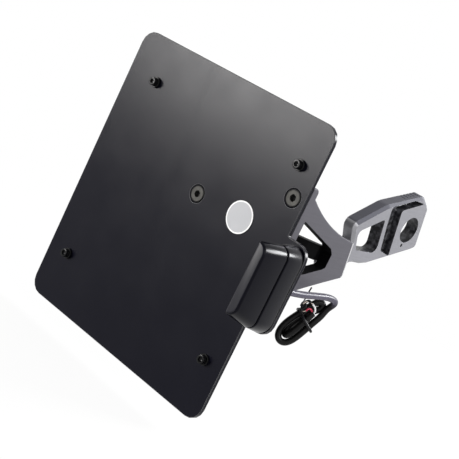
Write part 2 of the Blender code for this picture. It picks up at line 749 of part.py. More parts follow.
def make_adapter(parts, cutters, material):
    """Flat bar with a lap foot, a window, and a bearing end with pocket and axle hole."""
    left = AXLE_RIGHT - ADAPTER_THICKNESS
    blank_left = left - ADAPTER_CHAMFER
    adapter = side_slab(
        "axle_adapter", adapter_outline(), blank_left, AXLE_RIGHT, ADAPTER_CHAMFER
    )
    place(adapter, parts, material)
    facing_size = (2 * ADAPTER_CHAMFER, 2 * AXLE_BACK, 2 * AXLE_BACK)
    facing_middle = spot(left - ADAPTER_CHAMFER, AXLE_DOWN, AXLE_BACK)
    cut(adapter, block("left_facing", facing_size, Matrix.Translation(facing_middle)), cutters)
    window = side_slab(
        "adapter_window", adapter_window(), blank_left, AXLE_RIGHT + ADAPTER_CHAMFER
    )
    cut(adapter, window, cutters)
    pocket = side_slab(
        "bearing_pocket", bearing_pocket(), AXLE_RIGHT - POCKET_DEPTH,
        AXLE_RIGHT + POCKET_DEPTH, POCKET_FLOOR_RADIUS, 1,
    )
    cut(adapter, pocket, cutters)
    axle = Matrix.Translation(spot(AXLE_RIGHT, AXLE_DOWN, AXLE_BACK)) @ FACING_RIGHT
    past = ADAPTER_THICKNESS
    cut(adapter, prism("axle_drill", AXLE_HOLE_RADIUS, past, -2 * past, axle, 2 * ROUND_STEPS),
        cutters)
    dot = axle @ Matrix.Translation((0, -DOT_DOWN - DOT_RADIUS, 0))
    cut(adapter, prism("dot_drill", DOT_RADIUS, DOT_DEPTH, -DOT_DEPTH, dot, SMALL_ROUND_STEPS),
        cutters)
    for number, (back, down) in enumerate(adapter_screw_places(), 1):
        matrix = Matrix.Translation(spot(left, down, back)) @ FACING_LEFT
        hole = prism(f"foot_drill_{number}", CAP_SHANK_RADIUS + SEAT_GAP, past, -2 * past,
                     matrix, SMALL_ROUND_STEPS)
        cut(adapter, hole, cutters)
        mouth = prism(f"foot_counterbore_{number}", CAP_HEAD_RADIUS + SEAT_GAP, past,
                      -CAP_HEAD_HEIGHT - SEAT_GAP, matrix, SMALL_ROUND_STEPS)
        cut(adapter, mouth, cutters)
    start_back, start_down, _ = adapter_corner(*ADAPTER_TOP_START, 0)
    end_back, end_down, _ = adapter_corner(*ADAPTER_TOP_END, 0)
    fall = (end_down - start_down) / (end_back - start_back)
    for number in range(GROOVE_COUNT):
        back = ADAPTER_FRONT + GROOVE_START * ADAPTER_LENGTH + number * GROOVE_PITCH
        down = start_down + (back - start_back) * fall
        turn = Matrix.Rotation(-math.atan(fall), 4, "X")
        matrix = Matrix.Translation(spot(left, down, back)) @ turn
        groove = block(f"groove_{number + 1}",
                       (2 * GROOVE_LENGTH, GROOVE_WIDTH, 2 * GROOVE_DEPTH), matrix)
        cut(adapter, groove, cutters)
    return adapter


def make_adapter_screws(parts, cutters, steel):
    """Two cap screws sunk in the adapter's left side, into the arm's tip."""
    seat_right = AXLE_RIGHT - ADAPTER_THICKNESS + CAP_HEAD_HEIGHT
    shank_length = ADAPTER_THICKNESS - CAP_HEAD_HEIGHT + ADAPTER_SCREW_GRIP
    for number, (back, down) in enumerate(adapter_screw_places(), 1):
        matrix = Matrix.Translation(spot(seat_right, down, back)) @ FACING_LEFT
        screw, key = socket_cap(f"adapter_screw_{number}", matrix, shank_length)
        place(screw, parts, steel)
        cut(screw, key, cutters)


# Plate lamp

def lamp_section(back):
    """Left, right, top and bottom of the round-ended lamp at a depth."""
    in_base = min(max((LAMP_BASE_BACK - back) / LAMP_BASE_HEIGHT, 0), 1)
    in_cover = min(max((LAMP_COVER_BACK - back) / LAMP_COVER_HEIGHT, 0), 1)
    width = LAMP_BACK_WIDTH + in_base * (LAMP_JOINT_WIDTH - LAMP_BACK_WIDTH)
    length = LAMP_BACK_LENGTH + in_base * (LAMP_JOINT_LENGTH - LAMP_BACK_LENGTH)
    length += in_cover * (LAMP_FRONT_LENGTH - LAMP_JOINT_LENGTH)
    right = LAMP_RIGHT_EDGE + in_base * LAMP_RIGHT_LEAN
    top = LAMP_TOP + in_base * LAMP_TOP_DROP
    return right - width, right, top, top + length


def lamp_body(name, front, back, inset, edge_round=0.0, rounds=0):
    """Round-ended body between two depths, tapered as the whole lamp is."""
    width = LAMP_BACK_WIDTH - 2 * inset
    length = LAMP_BACK_LENGTH - 2 * inset
    outline = stadium(width, length, 0.49 * width)
    matrix = Matrix.Translation(spot(0, 0, 0)) @ FACING_FRONT
    body = slab(name, outline, back - front, matrix, edge_round, rounds)
    for vertex in body.data.vertices:
        depth = (front + back) / 2 - vertex.co.z
        left, right, top, bottom = lamp_section(depth)
        vertex.co.x = (left + right + vertex.co.x / width * (right - left - 2 * inset) * 2) / 2
        vertex.co.y = (-top - bottom + vertex.co.y / length * (bottom - top - 2 * inset) * 2) / 2
        vertex.co.z = -depth
    return body


def slant_angle():
    """How far the cover's cut left side turns from the lamp's own direction."""
    return math.atan((LAMP_JOINT_WIDTH - LAMP_FRONT_WIDTH) / LAMP_COVER_HEIGHT)


def slant_right(back, inset):
    """How far right the cover's slanted side lies at a depth, moved inwards by an inset."""
    start = LAMP_RIGHT_EDGE + LAMP_RIGHT_LEAN - LAMP_JOINT_WIDTH + inset / math.cos(slant_angle())
    return start + math.tan(slant_angle()) * (LAMP_COVER_BACK - back)


def slant_tool(name, inset):
    """Wedge on the lamp's left, up to the cover's slanted side moved inwards."""
    past = LAMP_COVER_HEIGHT / 4
    near, far = LAMP_COVER_BACK + past, LAMP_COVER_FRONT - past
    left = LAMP_RIGHT_EDGE - 3 * LAMP_BACK_WIDTH
    outline = [(left, far), (slant_right(far, inset), far), (slant_right(near, inset), near),
               (left, near)]
    return plan_slab(name, outline, LAMP_TOP - past, LAMP_TOP + LAMP_BACK_LENGTH + past)


def lens_frame(inset):
    """Matrix in the middle of the cover's slanted side: Z looks out of it, Y up."""
    middle = (LAMP_COVER_BACK + LAMP_COVER_FRONT) / 2
    top, bottom = lamp_section(middle)[2:]
    sideways = FACING_FRONT @ Matrix.Rotation(math.radians(-90), 4, "Y")
    out = Matrix.Rotation(slant_angle(), 4, "Z") @ sideways
    return Matrix.Translation(spot(slant_right(middle, inset), (top + bottom) / 2, middle)) @ out


def make_lamp_base(parts, cutters, material):
    """Cup-shaped housing that the studs pull against the ear."""
    base = lamp_body("lamp_base", LAMP_BASE_FRONT, LAMP_BASE_BACK, 0, LAMP_EDGE_ROUND, 1)
    place(base, parts, material)
    lip = lamp_body("lamp_base_lip", LAMP_COVER_BACK + SEAT_GAP, LAMP_BASE_BACK - LAMP_FLOOR,
                    LIP_INSET)
    join(base, lip, cutters)
    cavity = lamp_body("lamp_base_cavity", LAMP_COVER_BACK - SEAT_GAP,
                       LAMP_BASE_BACK - LAMP_FLOOR, LAMP_WALL)
    cut(base, cavity, cutters)
    drill_lamp_layer(base, LAMP_BASE_BACK, CABLE_DIAMETER / 2, cutters)
    return base


def drill_lamp_layer(layer, depth, cable_bore, cutters):
    """Holes for the two studs and the cable through one layer of the lamp's foot."""
    past = LAMP_BASE_HEIGHT / 2
    for number, (right, down) in enumerate(stud_places(), 1):
        matrix = Matrix.Translation(spot(right, down, depth)) @ FACING_FRONT
        drill = prism(f"{layer.name}_stud_drill_{number}", STUD_RADIUS + SEAT_GAP, past, -past,
                      matrix, SMALL_ROUND_STEPS)
        cut(layer, drill, cutters)
    matrix = Matrix.Translation(spot(LAMP_CENTRE_RIGHT, LAMP_CENTRE_DOWN, depth)) @ FACING_FRONT
    drill = prism(f"{layer.name}_cable_drill", cable_bore, past, -past, matrix)
    cut(layer, drill, cutters)


def make_lamp_gasket(parts, cutters, material):
    """Rubber sheet between the lamp's base and the ear."""
    gasket = lamp_body("lamp_gasket", GASKET_FRONT, -SEAT_GAP, GASKET_INSET)
    place(gasket, parts, material)
    drill_lamp_layer(gasket, GASKET_FRONT, GROMMET_NECK_RADIUS + SEAT_GAP, cutters)
    return gasket


def make_lamp_cover(parts, cutters, material):
    """Hood with a slanted left face that holds the lens."""
    cover = lamp_body("lamp_cover", LAMP_COVER_FRONT, LAMP_COVER_BACK, 0, LAMP_EDGE_ROUND, 1)
    place(cover, parts, material)
    cut(cover, slant_tool("cover_slant", 0), cutters)
    cavity = lamp_body("lamp_cover_cavity", LAMP_COVER_FRONT + LAMP_WALL,
                       LAMP_COVER_BACK + SEAT_GAP, LAMP_WALL)
    cut(cavity, slant_tool("cavity_slant", LAMP_WALL), cutters)
    cut(cover, cavity, cutters)
    seat = block("lens_seat", (LENS_WIDTH + 2 * SEAT_GAP, LENS_LENGTH + 2 * SEAT_GAP,
                               3 * LAMP_WALL), lens_frame(LAMP_WALL / 2))
    cut(cover, seat, cutters)
    return cover


def make_lens(parts, material):
    """Clear window flush with the cover's slanted face."""
    depth = LENS_THICKNESS / 2
    size = (LENS_WIDTH, LENS_LENGTH, LENS_THICKNESS)
    return place(block("lamp_lens", size, lens_frame(depth)), parts, material)


def make_led_board(parts, cutters, material):
    """Circuit board against the inside of the slanted face, with light diodes on it."""
    margin = LAMP_WALL / 2
    behind = LAMP_WALL + SEAT_GAP + BOARD_THICKNESS / 2
    size = (LENS_WIDTH + margin, LENS_LENGTH + 2 * margin, BOARD_THICKNESS)
    board = place(block("led_board", size, lens_frame(behind)), parts, material)
    pitch = LENS_LENGTH / LED_COUNT
    for number in range(LED_COUNT):
        along = (number - (LED_COUNT - 1) / 2) * pitch
        up = Matrix.Translation((0, along, (BOARD_THICKNESS + LED_HEIGHT) / 2 - SEAT_GAP / 2))
        diode = block(f"diode_{number + 1}", (LED_SIZE, LED_SIZE, LED_HEIGHT + SEAT_GAP),
                      lens_frame(behind) @ up)
        join(board, diode, cutters)
    return board


def make_lamp_fasteners(parts, cutters, steel):
    """Two studs through base, gasket and ear, with washers and nuts behind the ear."""
    head_seat = LAMP_BASE_BACK - LAMP_FLOOR - SEAT_GAP
    washer_back = PLATE_THICKNESS + SEAT_GAP + WASHER_THICKNESS
    nut_front = washer_back + SEAT_GAP
    tip = nut_front + NUT_HEIGHT + STUD_TIP_LENGTH
    profile = [
        (0, STUD_HEAD_HEIGHT),
        (STUD_HEAD_RADIUS, STUD_HEAD_HEIGHT),
        (STUD_HEAD_RADIUS, 0),
        (STUD_RADIUS, 0),
        (STUD_RADIUS, head_seat - tip),
        (0, head_seat - tip),
    ]
    bore = STUD_RADIUS + SEAT_GAP
    for number, (right, down) in enumerate(stud_places(), 1):
        matrix = Matrix.Translation(spot(right, down, head_seat)) @ FACING_FRONT
        stud = turned(f"lamp_stud_{number}", profile, matrix, SMALL_ROUND_STEPS)
        place(stud, parts, steel)
        make_washer(f"lamp_washer_{number}", right, down, washer_back, parts, steel, bore)
        make_nut(f"lamp_nut_{number}", right, down, nut_front, parts, cutters, steel, bore)


# Cable

def make_grommet(parts, material):
    """Rubber grommet in the ear, with its lip behind the plate."""
    matrix = Matrix.Translation(spot(LAMP_CENTRE_RIGHT, LAMP_CENTRE_DOWN, GROMMET_BACK))
    neck_top = GROMMET_BACK - GASKET_FRONT
    edge = GROMMET_LIP / 3
    profile = [
        (0, neck_top),
        (GROMMET_NECK_RADIUS, neck_top),
        (GROMMET_NECK_RADIUS, GROMMET_LIP),
        (GROMMET_RADIUS, GROMMET_LIP),
        (GROMMET_RADIUS, edge),
        (GROMMET_RADIUS - edge, 0),
        (0, 0),
    ]
    return place(turned("cable_grommet", profile, matrix @ FACING_FRONT), parts, material)


def smooth_route(points, steps):
    """Points along a smooth curve through the given points."""
    extended = [2 * points[0] - points[1], *points, 2 * points[-1] - points[-2]]
    route = []
    for index in range(1, len(points)):
        p0, p1, p2, p3 = extended[index - 1:index + 3]
        for step in range(steps):
            t = step / steps
            route.append(0.5 * (
                2 * p1 + (p2 - p0) * t + (2 * p0 - 5 * p1 + 4 * p2 - p3) * t ** 2
                + (3 * p1 - p0 - 3 * p2 + p3) * t ** 3
            ))
    route.append(points[-1])
    return route


def hank_frame():
    """Matrix of the hank: X along it to its lower end, Z out of its broad side."""
    along = Vector(HANK_ALONG).normalized()
    out = (Vector(HANK_OUT) - along * Vector(HANK_OUT).dot(along)).normalized()
    across = out.cross(along)
    turn = Matrix((along, across, out)).transposed().to_4x4()
    return Matrix.Translation(spot(*HANK_MIDDLE)) @ turn


def make_cable(parts, material):
    """Cable from the grommet to the upper end of the hank's right-hand run."""
    beside = HANK_WIDTH / 2 - 0.65 * CABLE_DIAMETER
    hank_end = hank_frame() @ Vector((-HANK_LENGTH / 2, beside, 0))
    route = [
        spot(LAMP_CENTRE_RIGHT, LAMP_CENTRE_DOWN, GROMMET_BACK + SEAT_GAP),
        spot(0.1904, 0.1006, 0.0140),
        spot(0.1911, 0.1004, 0.0270),
        spot(0.1917, 0.0993, 0.0420),
        spot(0.1920, 0.0990, 0.0530),
        spot(0.1925, 0.1000, 0.0595),
        spot(0.1929, 0.1018, 0.0622),
        hank_end,
    ]
    return place(tube("cable", smooth_route(route, 3), CABLE_DIAMETER), parts, material)


def make_hank(parts, material):
    """Outer shape of the folded and tied cable, with round ends."""
    radius = HANK_WIDTH / 2
    outline = stadium(HANK_LENGTH, HANK_WIDTH, radius * 0.98)
    hank = slab("cable_hank", outline, HANK_THICKNESS, hank_frame(), HANK_THICKNESS / 4, 1)
    return place(hank, parts, material)


def make_tie(parts, cutters, material):
    """Band round the middle of the hank."""
    turn = Matrix.Rotation(math.radians(90), 4, "Y")
    inner_width = HANK_WIDTH + 2 * SEAT_GAP
    inner_depth = HANK_THICKNESS + 2 * SEAT_GAP
    corner = HANK_THICKNESS / 4
    outer = stadium(inner_depth + 2 * TIE_THICKNESS, inner_width + 2 * TIE_THICKNESS,
                    corner + TIE_THICKNESS)
    inner = stadium(inner_depth, inner_width, corner)
    frame = hank_frame() @ turn
    tie = place(slab("cable_tie", outer, TIE_WIDTH, frame), parts, material)
    return cut(tie, slab("tie_inside", inner, 2 * TIE_WIDTH, frame), cutters)


def make_wire(name, across, parts, material):
    """Free wire end that lies on the hank's broad side and bends towards its edge."""
    above = HANK_THICKNESS / 2 + SEAT_GAP + WIRE_DIAMETER / 2
    start = -TIE_WIDTH / 2 - WIRE_DIAMETER
    bends = [
        Vector((start, across, above)),
        Vector((start - 0.0045, across - 0.0018, above)),
        Vector((start - 0.0085, across - 0.0042, above + WIRE_DIAMETER / 3)),
    ]
    route = smooth_route([hank_frame() @ bend for bend in bends], 4)
    return place(tube(name, route, WIRE_DIAMETER), parts, material)


def main():
    """Clears the scene and builds every piece."""
    for leftover in list(bpy.data.objects):
        bpy.data.objects.remove(leftover)
    parts = make_collection("side_mount_licence_plate_holder")
    cutters = make_collection("cutters")

    black_paint = make_material("satin_black", (0.012, 0.012, 0.014), 0.38, 0.0)
    arm_grey = make_material("anodised_grey", (0.11, 0.11, 0.12), 0.45, 0.85)
    adapter_grey = make_material("light_anodised_grey", (0.20, 0.20, 0.21), 0.42, 0.85)
    steel = make_material("black_steel", (0.03, 0.03, 0.03), 0.35, 0.9)
    raw_steel = make_material("grey_steel", (0.30, 0.29, 0.27), 0.35, 0.9)
    plastic = make_material("black_plastic", (0.015, 0.015, 0.018), 0.28, 0.0)
    rubber = make_material("black_rubber", (0.010, 0.010, 0.010), 0.75, 0.0)
    clear = make_material("clear_lens", (0.85, 0.86, 0.88), 0.08, 0.0)
    board_green = make_material("board_green", (0.02, 0.12, 0.05), 0.5, 0.0)
    sleeve = make_material("cable_sleeve", (0.030, 0.029, 0.036), 0.4, 0.0)
    red = make_material("red_wire", (0.35, 0.01, 0.02), 0.4, 0.0)
    white = make_material("white_wire", (0.75, 0.75, 0.75), 0.4, 0.0)
    paper = make_material("label_silver", (0.65, 0.65, 0.66), 0.4, 0.0)

    make_base_plate(parts, cutters, black_paint)
    make_plate_screws(parts, cutters, steel)
    make_countersunk_screws(parts, cutters, raw_steel)
    make_label(parts, paper)
    make_arm(parts, cutters, arm_grey)
    make_adapter(parts, cutters, adapter_grey)
    make_adapter_screws(parts, cutters, steel)
    make_lamp_gasket(parts, cutters, rubber)
    make_lamp_base(parts, cutters, plastic)
    make_lamp_cover(parts, cutters, plastic)
    make_lens(parts, clear)
    make_led_board(parts, cutters, board_green)
    make_lamp_fasteners(parts, cutters, raw_steel)
    make_grommet(parts, rubber)
    make_cable(parts, sleeve)
    make_hank(parts, sleeve)
    make_tie(parts, cutters, plastic)
    make_wire("red_wire", RED_WIRE_ACROSS, parts, red)
    make_wire("white_wire", WHITE_WIRE_ACROSS, parts, white)


main()
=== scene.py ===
"""Side mount licence plate holder for a motorcycle, seen in a white studio.

A black plate with a lamp on its ear stands on a grey machined arm. A lighter adapter
slips over the wheel's axle, and the lamp's cable ends in a tied hank.
"""

import math

import bmesh
import bpy
from mathutils import Matrix, Vector
from mathutils.bvhtree import BVHTree


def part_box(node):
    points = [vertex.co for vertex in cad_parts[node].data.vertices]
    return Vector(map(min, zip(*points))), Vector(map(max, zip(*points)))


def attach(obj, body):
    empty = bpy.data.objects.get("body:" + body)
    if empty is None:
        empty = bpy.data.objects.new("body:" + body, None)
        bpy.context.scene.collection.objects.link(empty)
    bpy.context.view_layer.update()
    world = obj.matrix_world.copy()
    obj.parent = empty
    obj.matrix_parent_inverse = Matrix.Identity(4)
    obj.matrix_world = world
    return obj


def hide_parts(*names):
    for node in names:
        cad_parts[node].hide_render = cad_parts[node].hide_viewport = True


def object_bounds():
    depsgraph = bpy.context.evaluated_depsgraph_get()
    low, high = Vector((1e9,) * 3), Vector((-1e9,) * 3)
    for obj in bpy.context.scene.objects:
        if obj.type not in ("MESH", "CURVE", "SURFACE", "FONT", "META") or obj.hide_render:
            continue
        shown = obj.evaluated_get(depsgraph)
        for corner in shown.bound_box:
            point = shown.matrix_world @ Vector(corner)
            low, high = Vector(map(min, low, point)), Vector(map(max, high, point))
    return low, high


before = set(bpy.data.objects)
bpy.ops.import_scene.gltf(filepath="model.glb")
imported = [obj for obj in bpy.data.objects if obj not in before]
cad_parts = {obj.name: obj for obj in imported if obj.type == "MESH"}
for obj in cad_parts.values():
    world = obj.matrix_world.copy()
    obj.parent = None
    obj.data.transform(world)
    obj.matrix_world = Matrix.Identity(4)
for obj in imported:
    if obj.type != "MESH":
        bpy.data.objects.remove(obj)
cad_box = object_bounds()

# The camera
# It stands right of the plate and a little above it, about three quarters of a metre
# away, with a long lens, and it leans to the left, so the upright plate looks tipped.

CAMERA_PLACE = Vector((0.38581, -0.68274, 0.07996))
CAMERA_RIGHT = Vector((0.66635, 0.60870, 0.43065))
CAMERA_UP = Vector((-0.43979, -0.14555, 0.88623))
CAMERA_BACK = Vector((0.60213, -0.77994, 0.17071))
CAMERA_LENS = 88.35
CAMERA_SENSOR = 36.0

camera_data = bpy.data.cameras.new("studio_camera")
camera_data.lens = CAMERA_LENS
camera_data.sensor_width = CAMERA_SENSOR
camera_data.clip_start = 0.01
camera_data.clip_end = 50.0
camera = bpy.data.objects.new("studio_camera", camera_data)
camera_turn = Matrix((CAMERA_RIGHT, CAMERA_UP, CAMERA_BACK)).transposed().to_4x4()
camera.matrix_world = Matrix.Translation(CAMERA_PLACE) @ camera_turn
bpy.context.scene.collection.objects.link(camera)
bpy.context.scene.camera = camera
bpy.context.scene.view_settings.view_transform = "Standard"

# The studio
# A white floor runs under everything and the room round it is white too. A lamp on the
# left front gives the plate its sheen, one on the right lights the arm, and one behind
# draws bright lines along the upper edges.

FLOOR_DROP = 0.012
FLOOR_SIZE = 12.0
FLOOR_COLOUR = (0.90, 0.895, 0.89, 1.0)
FLOOR_OWN_LIGHT = 0.93
FLOOR_NEAR = 0.25
FLOOR_FAR = 0.60
ROOM_COLOUR = (1.0, 1.0, 1.0, 1.0)
ROOM_FILL = 0.42
STUDIO_AIM = Vector((-0.05, -0.12, -0.05))


def with_inputs(node, values):
    """Sets a node's unlinked inputs and returns the node."""
    for socket, value in values.items():
        node.inputs[socket].default_value = value
    return node


def join(links, *rows):
    """Links nodes; each row is a node, its output, the next node and its input."""
    for source, output, target, socket in rows:
        links.new(source.outputs[output], target.inputs[socket])


def math_node(nodes, operation):
    """Node that works out one sum."""
    node = nodes.new("ShaderNodeMath")
    node.operation = operation
    return node


def seen_directly(nodes, links):
    """Node that gives 1 for what the camera, a reflection or a clear piece shows."""
    path = nodes.new("ShaderNodeLightPath")
    first = math_node(nodes, "MAXIMUM")
    second = math_node(nodes, "MAXIMUM")
    join(links, (path, "Is Camera Ray", first, 0), (path, "Is Glossy Ray", first, 1),
         (first, 0, second, 0), (path, "Is Transmission Ray", second, 1))
    return second


def white_room():
    """White world that lights the object less than it shows."""
    world = bpy.data.worlds.new("white_room")
    world.use_nodes = True
    nodes, links = world.node_tree.nodes, world.node_tree.links
    nodes.clear()
    shown = with_inputs(nodes.new("ShaderNodeBackground"), {"Color": ROOM_COLOUR})
    fill = with_inputs(nodes.new("ShaderNodeBackground"),
                       {"Color": ROOM_COLOUR, "Strength": ROOM_FILL})
    mix = nodes.new("ShaderNodeMixShader")
    out = nodes.new("ShaderNodeOutputWorld")
    join(links, (seen_directly(nodes, links), 0, mix, 0), (fill, 0, mix, 1), (shown, 0, mix, 2),
         (mix, 0, out, "Surface"))
    bpy.context.scene.world = world


def floor_material():
    """Matt white that glows where it is seen, most of all far off, so no horizon shows."""
    material = bpy.data.materials.new("studio_floor")
    material.use_nodes = True
    nodes, links = material.node_tree.nodes, material.node_tree.links
    nodes.clear()
    matt = with_inputs(nodes.new("ShaderNodeBsdfDiffuse"), {"Color": FLOOR_COLOUR})
    glow = with_inputs(nodes.new("ShaderNodeEmission"), {"Color": ROOM_COLOUR})
    place = nodes.new("ShaderNodeTexCoord")
    far_off = nodes.new("ShaderNodeVectorMath")
    far_off.operation = "LENGTH"
    own_light = with_inputs(nodes.new("ShaderNodeMapRange"), {
        "From Min": FLOOR_NEAR, "From Max": FLOOR_FAR, "To Min": FLOOR_OWN_LIGHT, "To Max": 1.0,
    })
    share = math_node(nodes, "MULTIPLY")
    mix = nodes.new("ShaderNodeMixShader")
    out = nodes.new("ShaderNodeOutputMaterial")
    join(links, (place, "Object", far_off, 0), (far_off, "Value", own_light, "Value"),
         (seen_directly(nodes, links), 0, share, 0), (own_light, "Result", share, 1),
         (share, 0, mix, 0), (matt, 0, mix, 1), (glow, 0, mix, 2), (mix, 0, out, "Surface"))
    return material


def soft_lamp(name, place, width, height, power, colour):
    """Rectangular lamp that looks at the object."""
    data = bpy.data.lights.new(name, "AREA")
    data.shape = "RECTANGLE"
    data.size = width
    data.size_y = height
    data.energy = power
    data.color = colour
    lamp = bpy.data.objects.new(name, data)
    look = (STUDIO_AIM - Vector(place)).to_track_quat("-Z", "Y")
    lamp.matrix_world = Matrix.Translation(place) @ look.to_matrix().to_4x4()
    bpy.context.scene.collection.objects.link(lamp)


white_room()
floor_mesh = bpy.data.meshes.new("floor")
half_floor = FLOOR_SIZE / 2
floor_height = cad_box[0].z - FLOOR_DROP
floor_corners = [(-half_floor, -half_floor), (half_floor, -half_floor),
                 (half_floor, half_floor), (-half_floor, half_floor)]
floor_mesh.from_pydata([(x, y, floor_height) for x, y in floor_corners], [], [(0, 1, 2, 3)])
floor = bpy.data.objects.new("floor", floor_mesh)
floor.data.materials.append(floor_material())
bpy.context.scene.collection.objects.link(floor)
soft_lamp("sheen_lamp", (-1.05, -1.47, 0.08), width=0.68, height=0.37, power=30.0,
          colour=(1.0, 0.985, 0.97))
soft_lamp("right_lamp", (1.35, -0.35, 0.75), width=0.9, height=0.9, power=13.0,
          colour=(1.0, 1.0, 1.0))
soft_lamp("back_lamp", (0.50, 0.93, 0.60), width=0.52, height=0.32, power=22.0,
          colour=(0.98, 0.99, 1.0))

# The cable
# Two thin wires run in a soft violet-grey sleeve from the lamp, through the ear, and on
# to a hank. There the sleeve is doubled back three times, and its end shows the wires.

CABLE_DIAMETER = 0.0044
CABLE_SIDES = 20
CABLE_RING_STEP = 0.0006
CABLE_EASING = 24
ROUTE_FINENESS = 4
VIOLET_END = 0.054
BLACK_START = 0.060
CABLE_VISIBLE = [
    (0.0180, -0.1339, -0.05325), (0.0187, -0.1257, -0.0536), (0.0194, -0.1127, -0.0534),
    (0.0200, -0.0977, -0.0523), (0.0203, -0.0867, -0.0520), (0.0208, -0.0802, -0.0530),
    (0.0212, -0.0775, -0.0548),
]
HANK_MIDDLE = Vector((0.0120, -0.0890, -0.0742))
HANK_ALONG = Vector((-0.23, -0.38, -0.90))
HANK_OUT = Vector((0.60, -0.78, 0.17))
HANK_RUNS = [
    (-0.0178, 0.0038, -0.0010), (-0.0120, 0.0050, -0.0006), (-0.0030, 0.0050, 0.0000),
    (0.0060, 0.0052, 0.0000), (0.0125, 0.0048, 0.0000), (0.0170, 0.0032, 0.0000),
    (0.0188, 0.0000, 0.0000), (0.0172, -0.0036, 0.0000), (0.0125, -0.0058, 0.0000),
    (0.0060, -0.0062, 0.0000), (-0.0030, -0.0052, 0.0000), (-0.0100, -0.0044, -0.0002),
    (-0.0155, -0.0036, -0.0008), (-0.0182, -0.0010, -0.0016), (-0.0170, 0.0016, -0.0026),
    (-0.0125, 0.0010, -0.0032), (-0.0060, -0.0016, -0.0034), (0.0030, -0.0030, -0.0034),
    (0.0100, -0.0028, -0.0032), (0.0134, -0.0014, -0.0014), (0.0138, -0.0002, 0.0008),
    (0.0108, 0.0004, 0.0030), (0.0040, 0.0006, 0.0034), (-0.0010, 0.0004, 0.0034),
    (-0.0055, 0.0002, 0.0031), (-0.0088, 0.0000, 0.0028),
]


def hank_frame():
    """Matrix of the hank: X along it to its lower end, Z out of its broad side."""
    along = HANK_ALONG.normalized()
    out = (HANK_OUT - along * HANK_OUT.dot(along)).normalized()
    turn = Matrix((along, out.cross(along), out)).transposed().to_4x4()
    return Matrix.Translation(HANK_MIDDLE) @ turn


def in_hank(points):
    """Points given in the hank's own frame, placed in the object's."""
    return [hank @ Vector(point) for point in points]


def smooth_route(points, step):
    """Points about a step apart along a smooth curve through the given points."""
    points = [Vector(point) for point in points]
    extended = [2 * points[0] - points[1], *points, 2 * points[-1] - points[-2]]
    fine = []
    for index in range(1, len(points)):
        p0, p1, p2, p3 = extended[index - 1:index + 3]
        count = max(2, round((p2 - p1).length / step) * ROUTE_FINENESS)
        for number in range(count):
            t = number / count
            fine.append(0.5 * (
                2 * p1 + (p2 - p0) * t + (2 * p0 - 5 * p1 + 4 * p2 - p3) * t ** 2
                + (3 * p1 - p0 - 3 * p2 + p3) * t ** 3
            ))
    fine.append(points[-1])
    route = [fine[0]]
    for point in fine[1:-1]:
        if (point - route[-1]).length >= step:
            route.append(point)
    if (fine[-1] - route[-1]).length < step / 2:
        route.pop()
    route.append(fine[-1])
    return route


def eased(route, times):
    """The route with its tight bends opened; its two ends stay."""
    for _ in range(times):
        middle = [
            (before + point * 2 + after) / 4
            for before, point, after in zip(route, route[1:], route[2:])
        ]
        route = [route[0], *middle, route[-1]]
    return route


def route_frames(route):
    """A side and an up direction for each point, turned as little as possible."""
    frames = []
    ahead = (route[1] - route[0]).normalized()
    side = ahead.orthogonal().normalized()
    for index in range(len(route)):
        before = route[max(index - 1, 0)]
        after = route[min(index + 1, len(route) - 1)]
        ahead = (after - before).normalized()
        side = (side - ahead * side.dot(ahead)).normalized()
        frames.append((side, ahead.cross(side)))
    return frames


def new_piece(name, mesh, *materials):
    """Linked object with its materials, at the origin."""
    piece = bpy.data.objects.new(name, mesh)
    mesh.name = name
    for material in materials:
        piece.data.materials.append(material)
    bpy.context.scene.collection.objects.link(piece)
    return piece


def stands_for(piece, slot, *nodes):
    """Rides the piece on the body in place of its CAD nodes."""
    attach(piece, "root")
    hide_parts(*nodes)


def add_walls(bm, pairs):
    """Four-sided faces between the two rings of each pair."""
    for first, second in pairs:
        for number in range(len(first)):
            after = (number + 1) % len(first)
            bm.faces.new((first[number], first[after], second[after], second[number]))


def mesh_from(bm):
    """Plain mesh of a finished shape."""
    mesh = bpy.data.meshes.new("shape")
    bm.to_mesh(mesh)
    bm.free()
    return mesh


def tube_mesh(route, radius_at, sides):
    """Closed tube along a route, with how far along it each point lies as an attribute."""
    bm = bmesh.new()
    run_layer = bm.verts.layers.float.new("run")
    run = 0.0
    circles = []
    for index, (side, up) in enumerate(route_frames(route)):
        point = route[index]
        if index:
            run += (point - route[index - 1]).length
        circle = []
        for number in range(sides):
            angle = math.tau * number / sides
            radius = radius_at(run, angle)
            vertex = bm.verts.new(point + (side * math.cos(angle) + up * math.sin(angle)) * radius)
            vertex[run_layer] = run
            circle.append(vertex)
        circles.append(circle)
    add_walls(bm, zip(circles, circles[1:]))
    bm.faces.new(reversed(circles[0]))
    bm.faces.new(circles[-1])
    bmesh.ops.recalc_face_normals(bm, faces=bm.faces)
    for face in bm.faces:
        face.smooth = len(face.verts) == 4
    return mesh_from(bm)


def add_sockets(tree, side, kinds):
    """Gives a node tree its own named inputs or outputs."""
    for name, kind in kinds.items():
        tree.interface.new_socket(name, in_out=side, socket_type=f"NodeSocket{kind}")


